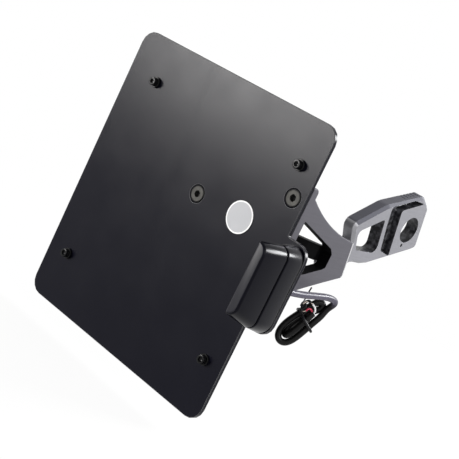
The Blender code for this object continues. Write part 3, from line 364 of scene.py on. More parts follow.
def fine_grain_group():
    """Speckled height and uneven gloss, such as moulded, painted or blasted skins have."""
    group = bpy.data.node_groups.new("fine_grain", "ShaderNodeTree")
    add_sockets(group, "INPUT", {"Scale": "Float", "Depth": "Float", "Gloss Low": "Float",
                                 "Gloss High": "Float"})
    add_sockets(group, "OUTPUT", {"Roughness": "Float", "Normal": "Vector"})
    nodes = group.nodes
    start = nodes.new("NodeGroupInput")
    end = nodes.new("NodeGroupOutput")
    place = nodes.new("ShaderNodeTexCoord")
    speckle = with_inputs(nodes.new("ShaderNodeTexNoise"), {"Detail": 3.0})
    cloud = with_inputs(nodes.new("ShaderNodeTexNoise"), {"Scale": 45.0, "Detail": 2.0})
    bump = with_inputs(nodes.new("ShaderNodeBump"), {"Distance": 0.0002})
    gloss = with_inputs(nodes.new("ShaderNodeMapRange"), {"From Min": 0.3, "From Max": 0.7})
    join(group.links,
         (place, "Object", speckle, "Vector"), (place, "Object", cloud, "Vector"),
         (start, "Scale", speckle, "Scale"), (start, "Depth", bump, "Strength"),
         (speckle, "Fac", bump, "Height"), (cloud, "Fac", gloss, "Value"),
         (start, "Gloss Low", gloss, "To Min"), (start, "Gloss High", gloss, "To Max"),
         (gloss, "Result", end, "Roughness"), (bump, "Normal", end, "Normal"))
    return group


FINE_GRAIN = fine_grain_group()


def grained(name, colour, scale, depth, gloss, specular=0.5, metallic=0.0):
    """Material with the fine grain on it; returns it with its nodes, links and shader."""
    material = bpy.data.materials.new(name)
    material.use_nodes = True
    nodes, links = material.node_tree.nodes, material.node_tree.links
    shader = with_inputs(nodes["Principled BSDF"], {
        "Base Color": (*colour, 1.0), "Metallic": metallic, "Specular IOR Level": specular,
    })
    grain = nodes.new("ShaderNodeGroup")
    grain.node_tree = FINE_GRAIN
    with_inputs(grain, {"Scale": scale, "Depth": depth, "Gloss Low": gloss[0],
                        "Gloss High": gloss[1]})
    join(links, (grain, "Roughness", shader, "Roughness"), (grain, "Normal", shader, "Normal"))
    return material, nodes, links, shader


def plain_grained(*values, **named):
    """The grained material alone."""
    return grained(*values, **named)[0]


def attribute_node(nodes, name):
    """Node that reads one of the piece's own attributes."""
    node = nodes.new("ShaderNodeAttribute")
    node.attribute_name = name
    return node


def banded(nodes, links, shader, along, stops, start, end):
    """Colours a shader along an attribute; stops are (value, colour) pairs."""
    spread = with_inputs(nodes.new("ShaderNodeMapRange"), {"From Min": start, "From Max": end})
    ramp = nodes.new("ShaderNodeValToRGB")
    elements = ramp.color_ramp.elements
    while len(elements) < len(stops):
        elements.new(0.5)
    for element, (value, colour) in zip(elements, stops):
        element.position = (value - start) / (end - start)
        element.color = (*colour, 1.0)
    join(links, (along, "Fac", spread, "Value"), (spread, "Result", ramp, "Fac"),
         (ramp, "Color", shader, "Base Color"))


def sleeve_material():
    """Violet-grey soft plastic that turns blacker along the hank."""
    violet, black = (0.070, 0.066, 0.088), (0.0045, 0.0045, 0.0045)
    material, nodes, links, shader = grained(
        "cable_sleeve", violet, scale=700.0, depth=0.25, gloss=(0.24, 0.34), specular=0.14
    )
    banded(nodes, links, shader, attribute_node(nodes, "run"),
           [(VIOLET_END, violet), (BLACK_START, black)], VIOLET_END, BLACK_START)
    return material


hank = hank_frame()
cable_route = eased(smooth_route(CABLE_VISIBLE + in_hank(HANK_RUNS), CABLE_RING_STEP), CABLE_EASING)
cable_length = sum((b - a).length for a, b in zip(cable_route, cable_route[1:]))
cable_mesh = tube_mesh(cable_route, lambda run, angle: CABLE_DIAMETER / 2, CABLE_SIDES)
cable = new_piece("lamp_cable", cable_mesh, sleeve_material())
stands_for(cable, "cable_sleeve", "cable", "cable_hank")

# The tie
# A thin plastic-coated wire is wound round the middle of the hank. One end is bent into
# a small loop at the hank's upper left edge, and the thinner end stands up beside it.

TIE_DIAMETER = 0.0018
TIE_SIDES = 14
TIE_STEP = 0.0005
TIE_TAIL = 0.013
TIE_TAIL_DIAMETER = 0.0010
TIE_PATH = [
    (-0.0190, -0.0125, -0.0047), (-0.0160, -0.0115, -0.0046), (-0.0131, -0.0103, -0.0038),
    (-0.0095, -0.0093, -0.0008), (-0.0072, -0.0088, 0.0020), (-0.0066, -0.0086, 0.0036),
    (-0.0088, -0.0080, 0.0046), (-0.0078, -0.0064, 0.0050), (-0.0050, -0.0070, 0.0042),
    (-0.0036, -0.0078, 0.0010), (-0.0030, -0.0074, -0.0034), (-0.0022, -0.0040, -0.0062),
    (-0.0014, 0.0010, -0.0062), (-0.0008, 0.0054, -0.0042), (-0.0004, 0.0081, -0.0006),
    (-0.0006, 0.0074, 0.0028), (-0.0012, 0.0040, 0.0052), (-0.0020, -0.0006, 0.0063),
    (-0.0032, -0.0046, 0.0050), (-0.0056, -0.0074, 0.0044), (-0.0096, -0.0086, 0.0044),
    (-0.0120, -0.0076, 0.0048), (-0.0118, -0.0058, 0.0052),
]

soft_black = plain_grained("tie_black", (0.004, 0.004, 0.005), scale=1500.0, depth=0.1,
                           gloss=(0.3, 0.4), specular=0.2)
tie_mesh = tube_mesh(
    smooth_route(in_hank(TIE_PATH), TIE_STEP),
    lambda run, angle: (TIE_TAIL_DIAMETER if run < TIE_TAIL else TIE_DIAMETER) / 2, TIE_SIDES
)
tie = new_piece("hank_tie", tie_mesh, soft_black)
stands_for(tie, "black_plastic", "cable_tie")

# The wire ends
# A red and a white wire come out of the sleeve's cut end, turn back beside it, and show
# a little bare twisted copper each.

WIRE_DIAMETER = 0.0013
WIRE_SIDES = 12
WIRE_STEP = 0.0004
BARE_DIAMETER = 0.0007
BARE_STEP = 0.0003
STRANDS = 4
STRAND_DEPTH = 0.12
STRAND_TWIST = 9000
SECOND_MATERIAL = 1
RED_PATH = [
    (-0.0082, -0.0008, 0.0034), (-0.0094, -0.0022, 0.0042), (-0.0090, -0.0038, 0.0050),
    (-0.0076, -0.0044, 0.0054), (-0.0064, -0.0044, 0.0056),
]
RED_BARE_PATH = [(-0.0064, -0.0044, 0.0056), (-0.0054, -0.0048, 0.0056), (-0.0046, -0.0054, 0.0054)]
WHITE_PATH = [
    (-0.0082, 0.0006, 0.0030), (-0.0108, -0.0004, 0.0036), (-0.0122, -0.0026, 0.0042),
    (-0.0124, -0.0050, 0.0046),
]
WHITE_BARE_PATH = [
    (-0.0124, -0.0050, 0.0046), (-0.0118, -0.0072, 0.0050), (-0.0100, -0.0086, 0.0052),
    (-0.0078, -0.0088, 0.0054),
]


def strands(run, angle):
    """Radius of the twisted copper."""
    return BARE_DIAMETER / 2 * (1 + STRAND_DEPTH * math.cos(STRANDS * angle + STRAND_TWIST * run))


def wire_end(name, points, bare_points, colour, node, slot):
    """Insulated wire with its bare end, as one piece in two materials."""
    insulation = plain_grained(name, colour, scale=1600.0, depth=0.08, gloss=(0.3, 0.42))
    copper = plain_grained(f"{name}_copper", (0.72, 0.62, 0.55), scale=2500.0, depth=0.2,
                           gloss=(0.2, 0.35), metallic=1.0)
    covered = tube_mesh(smooth_route(in_hank(points), WIRE_STEP),
                        lambda run, angle: WIRE_DIAMETER / 2, WIRE_SIDES)
    bare = tube_mesh(smooth_route(in_hank(bare_points), BARE_STEP), strands, WIRE_SIDES)
    bm = bmesh.new()
    bm.from_mesh(covered)
    count = len(bm.faces)
    bm.from_mesh(bare)
    bm.faces.ensure_lookup_table()
    for face in bm.faces[count:]:
        face.material_index = SECOND_MATERIAL
    bm.to_mesh(covered)
    bm.free()
    bpy.data.meshes.remove(bare)
    wire = new_piece(name, covered, insulation, copper)
    stands_for(wire, slot, node)
    return wire


red_wire = wire_end("red_lamp_wire", RED_PATH, RED_BARE_PATH, (0.42, 0.015, 0.05),
                    "red_wire", "red_plastic")
white_wire = wire_end("white_lamp_wire", WHITE_PATH, WHITE_BARE_PATH, (0.72, 0.72, 0.72),
                      "white_wire", "white_plastic")
tuple(cable_route[0])
[tuple(point) for point in cable_route]

# The base plate
# A sheet of 3 mm steel with rounded corners and an ear for the lamp, laser cut, drilled
# and countersunk, and then coated in satin black. Its rounded edges are coloured lighter,
# as worn paint and as a painted highlight.

WELD_DISTANCE = 0.00001
FLAT_LIMIT = math.radians(0.6)
SOFT_EDGE_LIMIT = math.radians(30)
SHARP_LIMIT = math.radians(40)
PLATE_SOFT_EDGE = 0.00022


def welded_copy(node, name, *materials):
    """Object with a CAD node's shape, its points merged and its flat faces made whole."""
    bm = bmesh.new()
    bm.from_mesh(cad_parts[node].data)
    bmesh.ops.remove_doubles(bm, verts=bm.verts, dist=WELD_DISTANCE)
    bmesh.ops.dissolve_limit(bm, angle_limit=FLAT_LIMIT, verts=bm.verts, edges=bm.edges)
    return new_piece(name, mesh_from(bm), *materials)


def applied(piece):
    """Makes a piece's modifiers real and takes them off it."""
    depsgraph = bpy.context.evaluated_depsgraph_get()
    mesh = bpy.data.meshes.new_from_object(
        piece.evaluated_get(depsgraph), preserve_all_data_layers=True, depsgraph=depsgraph
    )
    mesh.name = piece.name
    piece.modifiers.clear()
    old = piece.data
    piece.data = mesh
    bpy.data.meshes.remove(old)
    return piece


def soften(piece, width, segments, edge_material=-1):
    """Rounds a piece's sharp edges; the rounded strips can have a material of their own."""
    bevel = piece.modifiers.new("soft_edges", "BEVEL")
    bevel.width = width
    bevel.segments = segments
    bevel.limit_method = "ANGLE"
    bevel.angle_limit = SOFT_EDGE_LIMIT
    bevel.use_clamp_overlap = True
    bevel.material = edge_material
    even = piece.modifiers.new("even_light", "WEIGHTED_NORMAL")
    even.keep_sharp = True
    piece.data.shade_smooth()
    piece.data.set_sharp_from_angle(angle=SHARP_LIMIT)
    return applied(piece)


plate_paint = plain_grained("satin_black_paint", (0.0025, 0.0025, 0.0060), scale=1100.0,
                            depth=0.07, gloss=(0.23, 0.27), specular=0.095)
# Lighter colour on the rounded edges: worn paint and a painted highlight.
plate_worn_and_highlit_edge = plain_grained("worn_black_edge", (0.080, 0.080, 0.083), scale=1100.0,
                           depth=0.07, gloss=(0.26, 0.34), specular=0.8)
plate = welded_copy("base_plate", "base_plate_sheet", plate_paint, plate_worn_and_highlit_edge)
stands_for(soften(plate, PLATE_SOFT_EDGE, 2, SECOND_MATERIAL), "satin_black", "base_plate")

# The black fasteners
# Low socket cap screws with thick washers and nuts hold the licence plate, and two deeper
# ones hold the adapter. All are blackened M4 with knurled heads and real threads.

SUNK_CAP_RADIUS = 0.0035
SUNK_CAP_HEIGHT = 0.004
LOW_CAP_RADIUS = 0.0029
LOW_CAP_HEIGHT = 0.0026
CAP_SHANK_RADIUS = 0.00198
CAP_HEX_FLATS = 0.003
CAP_HEX_SHARE = 0.55
CAP_EDGE = 0.00035
KNURLS = 24
KNURL_DEPTH = 0.00013
THREAD_PITCH = 0.0007
THREAD_DEPTH = 0.00036
THREAD_STEPS = 6
RING_COUNT = 72
SEAT_GAP = 0.0003
BORE_RADIUS = CAP_SHANK_RADIUS + SEAT_GAP
PLATE_THICKNESS = 0.003
PLATE_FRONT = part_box("base_plate")[0].y
WASHER_THICKNESS = 0.0014
WASHER_RADIUS = 0.0037
NUT_HEIGHT = 0.0032
NUT_FLATS = 0.007
ANY_TURN = 6.28
FORWARD = (1, (math.radians(90), 0.0, 0.0))
TO_THE_LEFT = (0, (0.0, math.radians(-90), 0.0))


def loft(rings, loop=False):
    """Mesh through rings of points; its ends are closed, or its last ring meets its first."""
    bm = bmesh.new()
    ring_layer = bm.verts.layers.float.new("ring")
    made = [[bm.verts.new(point) for point in points] for points in rings]
    for vertex in bm.verts:
        vertex[ring_layer] = math.hypot(vertex.co.x, vertex.co.y)
    add_walls(bm, zip(made, made[1:]))
    if loop:
        add_walls(bm, [(made[-1], made[0])])
    else:
        bm.faces.new(reversed(made[0]))
        bm.faces.new(made[-1])
    bmesh.ops.remove_doubles(bm, verts=bm.verts, dist=WELD_DISTANCE / 5)
    bmesh.ops.recalc_face_normals(bm, faces=bm.faces)
    mesh = mesh_from(bm)
    mesh.shade_smooth()
    mesh.set_sharp_from_angle(angle=SHARP_LIMIT)
    return mesh


def ring(radius, height):
    """Ring of points; radius and height are numbers or functions of the angle."""
    points = []
    for number in range(RING_COUNT):
        angle = math.tau * number / RING_COUNT
        across = radius(angle) if callable(radius) else radius
        up = height(angle) if callable(height) else height
        points.append((across * math.cos(angle), across * math.sin(angle), up))
    return points


def hexagon(flats):
    """Radius of a hexagon with this width across flats, as a function of the angle."""
    return lambda angle: flats / 2 / math.cos((angle % math.radians(60)) - math.radians(30))


def knurled(radius):
    """Radius of a knurled side, as a function of the angle."""
    return lambda angle: radius - KNURL_DEPTH * (0.5 + 0.5 * math.cos(KNURLS * angle))


def thread_rings(radius, top, bottom):
    """Rings of a screw thread between two heights, from the top down."""
    count = max(2, round((top - bottom) / THREAD_PITCH * THREAD_STEPS))
    rings = []
    for number in range(count + 1):
        height = top + (bottom - top) * number / count

        def depth(angle, height=height):
            phase = (height / THREAD_PITCH - angle / math.tau) % 1.0
            return radius - THREAD_DEPTH * abs(2 * phase - 1)
        rings.append(ring(depth, height))
    return rings


def hex_socket_rings(radius, height, flats, depth):
    """Rings of a head's top face and of the hexagon socket in it, from the middle out."""
    floor_height = height - depth
    return [
        ring(flats * 0.06, floor_height - flats * 0.10),
        ring(hexagon(flats * 0.92), floor_height),
        ring(hexagon(flats), floor_height + flats * 0.05),
        ring(hexagon(flats), height - flats * 0.05),
        ring(hexagon(flats * 1.08), height),
        ring((radius + flats * 0.54) / 2, height),
    ]


def cap_screw(shank_length, head_radius, head_height):
    """Socket cap screw whose head stands on the origin."""
    rings = hex_socket_rings(head_radius - CAP_EDGE, head_height, CAP_HEX_FLATS,
                             head_height * CAP_HEX_SHARE)
    rings += [
        ring(head_radius - CAP_EDGE, head_height),
        ring(head_radius - CAP_EDGE * 0.3, head_height - CAP_EDGE * 0.3),
        ring(head_radius, head_height - CAP_EDGE),
        ring(knurled(head_radius), head_height - CAP_EDGE * 1.6),
        ring(knurled(head_radius), CAP_EDGE * 1.6),
        ring(head_radius, CAP_EDGE),
        ring(head_radius - CAP_EDGE, 0),
        ring(CAP_SHANK_RADIUS, 0),
    ]
    rings += thread_rings(CAP_SHANK_RADIUS, -CAP_EDGE, -shank_length + CAP_EDGE)
    rings.append(ring(CAP_SHANK_RADIUS - THREAD_DEPTH * 1.2, -shank_length))
    return loft(rings)


def washer(radius, thickness):
    """Flat washer that stands on the origin, with softened edges."""
    edge = thickness * 0.2
    return loft([
        ring(BORE_RADIUS, edge), ring(BORE_RADIUS + edge, 0), ring(radius - edge, 0),
        ring(radius, edge), ring(radius, thickness - edge), ring(radius - edge, thickness),
        ring(BORE_RADIUS + edge, thickness), ring(BORE_RADIUS, thickness - edge),
    ], loop=True)


def nut():
    """Hexagon nut that hangs below the origin, with turned corners and a threaded bore."""
    corner = hexagon(NUT_FLATS)
    turned = NUT_FLATS * 0.475

    def slope(angle):
        return max(0.0, corner(angle) - turned) * math.tan(math.radians(30))
    inside = thread_rings(BORE_RADIUS + THREAD_DEPTH * 0.3, -CAP_EDGE, -NUT_HEIGHT + CAP_EDGE)
    rings = [
        ring(lambda angle: min(corner(angle), turned), 0),
        ring(corner, lambda angle: -slope(angle)),
        ring(corner, lambda angle: slope(angle) - NUT_HEIGHT),
        ring(lambda angle: min(corner(angle), turned), -NUT_HEIGHT),
        ring(BORE_RADIUS + CAP_EDGE, -NUT_HEIGHT),
    ]
    rings += reversed(inside)
    rings.append(ring(BORE_RADIUS + CAP_EDGE, 0))
    return loft(rings, loop=True)


def placing_tree():
    """Node tree that puts one fastener on each point, each turned by its own angle."""
    tree = bpy.data.node_groups.new("place_fasteners", "GeometryNodeTree")
    add_sockets(tree, "INPUT", {"Geometry": "Geometry", "Fastener": "Object", "Facing": "Vector",
                                "Size": "Float", "Spin": "Float", "Seed": "Int",
                                "Finish": "Material"})
    add_sockets(tree, "OUTPUT", {"Geometry": "Geometry"})
    nodes = tree.nodes
    start = nodes.new("NodeGroupInput")
    end = nodes.new("NodeGroupOutput")
    info = with_inputs(nodes.new("GeometryNodeObjectInfo"), {"As Instance": True})
    facing = nodes.new("FunctionNodeEulerToRotation")
    put = nodes.new("GeometryNodeInstanceOnPoints")
    chance = nodes.new("FunctionNodeRandomValue")
    chance.data_type = "FLOAT"
    largest = [s.name == "Max" and s.type == "VALUE" for s in chance.inputs].index(True)
    drawn = [s.type == "VALUE" for s in chance.outputs].index(True)
    spin = nodes.new("ShaderNodeCombineXYZ")
    turn = nodes.new("GeometryNodeRotateInstances")
    real = nodes.new("GeometryNodeRealizeInstances")
    finish = nodes.new("GeometryNodeSetMaterial")
    join(tree.links,
         (start, "Fastener", info, "Object"), (start, "Geometry", put, "Points"),
         (info, "Geometry", put, "Instance"), (start, "Facing", facing, "Euler"),
         (facing, "Rotation", put, "Rotation"), (start, "Size", put, "Scale"),
         (start, "Spin", chance, largest), (start, "Seed", chance, "Seed"),
         (chance, drawn, spin, "Z"), (put, "Instances", turn, "Instances"),
         (spin, "Vector", turn, "Rotation"), (turn, "Instances", real, "Geometry"),
         (real, "Geometry", finish, "Geometry"), (start, "Finish", finish, "Material"),
         (finish, "Geometry", end, "Geometry"))
    return tree


PLACING = placing_tree()


def middle_of(node):
    """Middle of a CAD node's box."""
    low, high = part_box(node)
    return (low + high) / 2


def set_of(name, mesh, material, slot, nodes, seat, at=None, facing=FORWARD, seed=3, spin=ANY_TURN):
    """One piece with a fastener on its seat at each node, in place of the CAD nodes."""
    axis, turn = facing
    places = []
    for node in at or nodes:
        place = middle_of(node)
        place[axis] = seat
        places.append(tuple(place))
    source = new_piece(f"{name}_pattern", mesh)
    points = bpy.data.meshes.new("places")
    points.from_pydata(places, [], [])
    piece = new_piece(name, points)
    placing = piece.modifiers.new("placing", "NODES")
    placing.node_group = PLACING
    values = {"Fastener": source, "Facing": turn, "Size": 1.0, "Spin": spin, "Seed": seed,
              "Finish": material}
    for socket in PLACING.interface.items_tree:
        if socket.in_out == "INPUT" and socket.name in values:
            placing[socket.identifier] = values[socket.name]
    applied(piece)
    bpy.data.objects.remove(source)
    stands_for(piece, slot, *nodes)


def numbered(stem, count):
    """Names of like CAD nodes."""
    return [f"{stem}_{number}" for number in range(1, count + 1)]


black_steel = plain_grained("blackened_steel", (0.0040, 0.0040, 0.0045), scale=1800.0,
                            depth=0.10, gloss=(0.18, 0.30), specular=0.13)
washer_seat = PLATE_FRONT - SEAT_GAP
head_seat = washer_seat - WASHER_THICKNESS - SEAT_GAP
nut_seat = PLATE_FRONT + PLATE_THICKNESS + SEAT_GAP
plate_screw_nodes = numbered("plate_screw", 4)
screw_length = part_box("plate_screw_1")[1].y - head_seat
set_of("licence_plate_screws", cap_screw(screw_length, LOW_CAP_RADIUS, LOW_CAP_HEIGHT),
       black_steel, "black_steel", plate_screw_nodes, head_seat)
set_of("licence_plate_washers", washer(WASHER_RADIUS, WASHER_THICKNESS), black_steel,
       "black_steel", numbered("plate_washer", 4), washer_seat, at=plate_screw_nodes)
set_of("licence_plate_nuts", nut(), black_steel, "black_steel", numbered("plate_nut", 4),
       nut_seat, at=plate_screw_nodes, seed=5)
adapter_low, adapter_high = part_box("adapter_screw_1")
sunk_length = adapter_high.x - adapter_low.x - SUNK_CAP_HEIGHT
set_of("adapter_screws", cap_screw(sunk_length, SUNK_CAP_RADIUS, SUNK_CAP_HEIGHT), black_steel,
       "black_steel", numbered("adapter_screw", 2), adapter_low.x + SUNK_CAP_HEIGHT,
       facing=TO_THE_LEFT, seed=8)

# The countersunk screws
# Three grey steel M6 screws with turned, nearly flat heads and hexagon sockets. They
# sit in slightly wider countersinks. The socket and the outer rim of each head are
# painted black as painted shade, for the dark socket and the dark ring of the gap.

SUNK_HEAD_RADIUS = 0.0056
SUNK_SHANK_RADIUS = 0.0027
SUNK_FLATS = 0.004
SUNK_DEPTH = 0.0020
SUNK_RIM = 0.0003
SUNK_GREY = (0.044, 0.043, 0.040)
SUNK_PAINTED_SHADE = (0.003, 0.003, 0.003)
# The black bands are painted shade: the socket in the middle, the countersink's gap at the rim.
SUNK_BANDS = [
    (0.0, SUNK_PAINTED_SHADE), (0.0019, SUNK_PAINTED_SHADE), (0.0024, SUNK_GREY), (0.0046, SUNK_GREY),
    (0.0049, SUNK_PAINTED_SHADE),
]
LATHE_RINGS = 28000.0


def countersunk_screw(length):
    """Countersunk screw whose head's top lies on the origin."""
    rings = hex_socket_rings(SUNK_HEAD_RADIUS, 0, SUNK_FLATS, SUNK_DEPTH)
    rings += [
        ring(SUNK_HEAD_RADIUS * 0.93, 0),
        ring(SUNK_HEAD_RADIUS * 0.98, -SUNK_RIM * 0.25),
        ring(SUNK_HEAD_RADIUS, -SUNK_RIM * 0.8),
        ring(SUNK_HEAD_RADIUS * 0.99, -SUNK_RIM * 1.2),
        ring(SUNK_SHANK_RADIUS, -SUNK_RIM * 1.2 - SUNK_HEAD_RADIUS + SUNK_SHANK_RADIUS),
    ]
    rings += thread_rings(SUNK_SHANK_RADIUS, rings[-1][0][2] - SUNK_RIM, -length + SUNK_RIM)
    rings.append(ring(SUNK_SHANK_RADIUS - THREAD_DEPTH * 1.3, -length))
    return loft(rings)


def turned_steel(name, colour, metallic, gloss, bands, reach, specular=0.5):
    """Steel in bands from the middle out, with the fine rings that a lathe leaves."""
    material, nodes, links, shader = grained(name, colour, 1500.0, 0.1, gloss, specular, metallic)
    ring_at = attribute_node(nodes, "ring")
    banded(nodes, links, shader, ring_at, bands, 0.0, reach)
    often = with_inputs(math_node(nodes, "MULTIPLY"), {1: LATHE_RINGS})
    waves = math_node(nodes, "SINE")
    bump = with_inputs(nodes.new("ShaderNodeBump"), {"Strength": 0.25, "Distance": 0.00005})
    grain = [n for n in nodes if n.type == "GROUP"][0]
    join(links, (ring_at, "Fac", often, 0), (often, 0, waves, 0), (waves, 0, bump, "Height"),
         (grain, "Normal", bump, "Normal"), (bump, "Normal", shader, "Normal"))
    return material


sunk_low, sunk_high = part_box("countersunk_screw_1")
grey_steel = turned_steel("turned_grey_steel", SUNK_GREY, metallic=0.4, gloss=(0.38, 0.48),
                          bands=SUNK_BANDS, reach=SUNK_HEAD_RADIUS, specular=0.10)
set_of("countersunk_screws", countersunk_screw(sunk_high.y - sunk_low.y),
       grey_steel, "grey_steel", numbered("countersunk_screw", 3), sunk_low.y, seed=2)

# The label
# A round sticker of silver film on the plate's front, left bare. Its cut rim shows as a
# slightly brighter line.

LABEL_RADIUS = 0.0105
LABEL_THICKNESS = 0.0002
LABEL_EDGE = LABEL_THICKNESS * 0.4
LABEL_RIM = 0.0009
RIM_START = LABEL_RADIUS - LABEL_RIM * 1.1
RIM_FULL = LABEL_RADIUS - LABEL_RIM * 0.9


def label_material():
    """Silver film, brighter along its rim, with fine uneven gloss."""
    material, nodes, links, shader = grained(
        "silver_film", (0.6, 0.6, 0.6), scale=2200.0, depth=0.05, gloss=(0.45, 0.6), specular=0.12
    )
    banded(nodes, links, shader, attribute_node(nodes, "ring"),
           [(RIM_START, (0.37, 0.375, 0.39)), (RIM_FULL, (0.72, 0.72, 0.72))], 0.0, LABEL_RADIUS)
    return material


label_rings = [
    ring(LABEL_RADIUS * share, LABEL_THICKNESS) for share in (0.15, 0.3, 0.5, 0.7, 0.85)
]
label_rings += [
    ring(radius, LABEL_THICKNESS) for radius in (RIM_START, RIM_FULL, LABEL_RADIUS - LABEL_EDGE)
]
label_rings += [ring(LABEL_RADIUS, LABEL_THICKNESS - LABEL_EDGE), ring(LABEL_RADIUS, 0)]
set_of("round_sticker", loft(label_rings), label_material(), "label_silver", ["round_label"],
       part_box("round_label")[1].y, spin=0.0)

# The arm
# Milled from one block of aluminium and anodised grey: a side plate with a window, a
# flange with a tongue behind the plate, and a third leg. Its window walls and the leg's
# faces towards the camera are painted near black as painted shade, and its rounded tip
# is coloured lighter as a painted highlight.

ARM_SOFT_EDGE = 0.0004
INWARD_REACH = 0.050
NARROW_GAP = 0.0022
WINDOW_LOW = Vector((-1.0, -0.1340, -0.0520))
WINDOW_HIGH = Vector((1.0, -0.0860, -0.0120))
TIP_START = -0.0715
TIP_WIDENING = 0.0008
LEG_FRONT = -0.1335
LEG_RIGHT = 0.0004
PAINTED_SHADE_SLOT = 2


def inner_and_outer_faces(mesh):
    """Each face, with whether the same piece lies in front of it across a wide gap."""
    tree = BVHTree.FromPolygons([v.co for v in mesh.vertices],
                                [tuple(p.vertices) for p in mesh.polygons])
    for polygon in mesh.polygons:
        start = polygon.center + polygon.normal * 0.0001
        gap = tree.ray_cast(start, polygon.normal, INWARD_REACH)[3]
        yield polygon, gap is not None and gap > NARROW_GAP


def is_between(point, low, high):
    """Whether a point lies inside a box."""
    return all(low[axis] < point[axis] < high[axis] for axis in range(3))


def milled(name, colour, metallic, gloss, depth, specular=0.5):
    """Blasted and anodised aluminium, with faint long milling lines."""
    material, nodes, links, shader = grained(
        name, colour, 1300.0, depth / 2, gloss, specular, metallic
    )
    place = nodes.new("ShaderNodeTexCoord")
    stretch = with_inputs(nodes.new("ShaderNodeMapping"), {"Scale": (40.0, 40.0, 1100.0)})
    lines = with_inputs(nodes.new("ShaderNodeTexNoise"), {"Scale": 1.0, "Detail": 1.0})
    tint = with_inputs(nodes.new("ShaderNodeMixRGB"), {"Fac": 0.18, "Color1": (*colour, 1.0)})
    tint.blend_type = "MULTIPLY"
    join(links, (place, "Object", stretch, "Vector"), (stretch, "Vector", lines, "Vector"),
         (lines, "Fac", tint, "Color2"), (tint, "Color", shader, "Base Color"))
    return material


def widen_tip(piece):
    """Moves the border between the arm's right face and its rounded tip inwards."""
    right_face = max(vertex.co.x for vertex in piece.data.vertices)
    for vertex in piece.data.vertices:
        if vertex.co.x > right_face - WELD_DISTANCE * 5 and vertex.co.y > TIP_START:
            vertex.co.y -= TIP_WIDENING
    piece.data.update()


arm = welded_copy(
    "arm", "machined_arm",
    milled("arm_grey_anodised", (0.098, 0.095, 0.110), metallic=0.4, gloss=(0.38, 0.50),
           depth=0.12, specular=0.25),
    # Painted highlight for the faces of the rounded tip.
    milled("arm_bright_edge", (0.52, 0.52, 0.53), metallic=0.5, gloss=(0.30, 0.40), depth=0.05),
    # Painted shade for the window's inner walls and the leg.
    milled("arm_dark_pocket", (0.003, 0.003, 0.0035), metallic=0.0, gloss=(0.45, 0.6),
           depth=0.12, specular=0.06),
)
widen_tip(arm)
# Painted shade on the window walls and on the leg's faces towards the camera; painted highlight on
# the rounded tip's faces.
for polygon, is_inner in inner_and_outer_faces(arm.data):
    is_wall = is_inner and abs(polygon.normal.x) < 0.5
    is_leg = polygon.center.x < LEG_RIGHT and polygon.center.y > LEG_FRONT
    if is_wall and is_between(polygon.center, WINDOW_LOW, WINDOW_HIGH):
        polygon.material_index = PAINTED_SHADE_SLOT
    elif is_leg and polygon.normal.dot(CAMERA_BACK) > 0.1:
        polygon.material_index = PAINTED_SHADE_SLOT
    elif polygon.center.y > TIP_START and 0.3 < polygon.normal.x < 0.995:
        polygon.material_index = SECOND_MATERIAL
stands_for(soften(arm, ARM_SOFT_EDGE, 3), "arm_grey", "arm")

# The axle adapter
# Milled from 9.5 mm aluminium and anodised a lighter grey, with an open window, an
# L-shaped pocket beside its bearing face, a gauge of five grooves and a marking dot.
# Its inner walls and pocket floor are painted dark as painted shade, with grey patches
# of painted reflection; its upward faces are painted darker as painted shade, and its
# rounded edges and the foot's faces towards the front lighter as painted highlight.

MOTTLE_SCALE = 330.0
ADAPTER_FOOT_END = -0.0545
ADAPTER_POCKET_FLOOR = -0.003
ADAPTER_SOFT_EDGE = 0.00035
SHADED_TOP_SLOT = 3


def pocket_painted_shade():
    """Painted shade for pocket and inner walls, with grey patches of painted reflection."""
    material, nodes, links, shader = grained(
        "adapter_dark_pocket", (0.02, 0.02, 0.022), scale=1300.0, depth=0.15, gloss=(0.3, 0.5),
        specular=0.4
    )
    place = nodes.new("ShaderNodeTexCoord")
    patches = with_inputs(nodes.new("ShaderNodeTexNoise"), {"Scale": MOTTLE_SCALE, "Detail": 2.0})
    ramp = nodes.new("ShaderNodeValToRGB")
    dark, light = ramp.color_ramp.elements
    dark.position = 0.42
    dark.color = (0.005, 0.005, 0.007, 1.0)
    light.position = 0.68
    light.color = (0.075, 0.075, 0.085, 1.0)
    join(links, (place, "Object", patches, "Vector"), (patches, "Fac", ramp, "Fac"),
         (ramp, "Color", shader, "Base Color"))
    return material


adapter = welded_copy(
    "axle_adapter", "axle_adapter_bar",
    milled("adapter_grey_anodised", (0.225, 0.224, 0.245), metallic=0.35, gloss=(0.36, 0.48),
           depth=0.10),
    # Painted highlight for the rounded edges and the foot's faces towards the front.
    milled("adapter_bright_edge", (0.33, 0.33, 0.35), metallic=0.3, gloss=(0.38, 0.48), depth=0.05),
    pocket_painted_shade(),
    # Painted shade for the faces that look upwards.
    milled("adapter_dull_top", (0.085, 0.085, 0.105), metallic=0.2, gloss=(0.45, 0.55),
           depth=0.10, specular=0.3),
)
# Painted shade on inner walls and pocket floor, painted shade on upward faces, painted highlight on
# the foot's front faces.
for polygon, is_inner in inner_and_outer_faces(adapter.data):
    is_wall = is_inner and abs(polygon.normal.x) < 0.5
    is_floor = polygon.normal.x > 0.5 and polygon.center.x < ADAPTER_POCKET_FLOOR
    if (is_wall or is_floor) and polygon.center.y > ADAPTER_FOOT_END:
        polygon.material_index = PAINTED_SHADE_SLOT
    elif polygon.normal.z > 0.4:
        polygon.material_index = SHADED_TOP_SLOT
    elif polygon.normal.y < -0.5 and polygon.center.y < ADAPTER_FOOT_END:
        polygon.material_index = SECOND_MATERIAL
stands_for(soften(adapter, ADAPTER_SOFT_EDGE, 3, SECOND_MATERIAL), "adapter_grey", "axle_adapter")

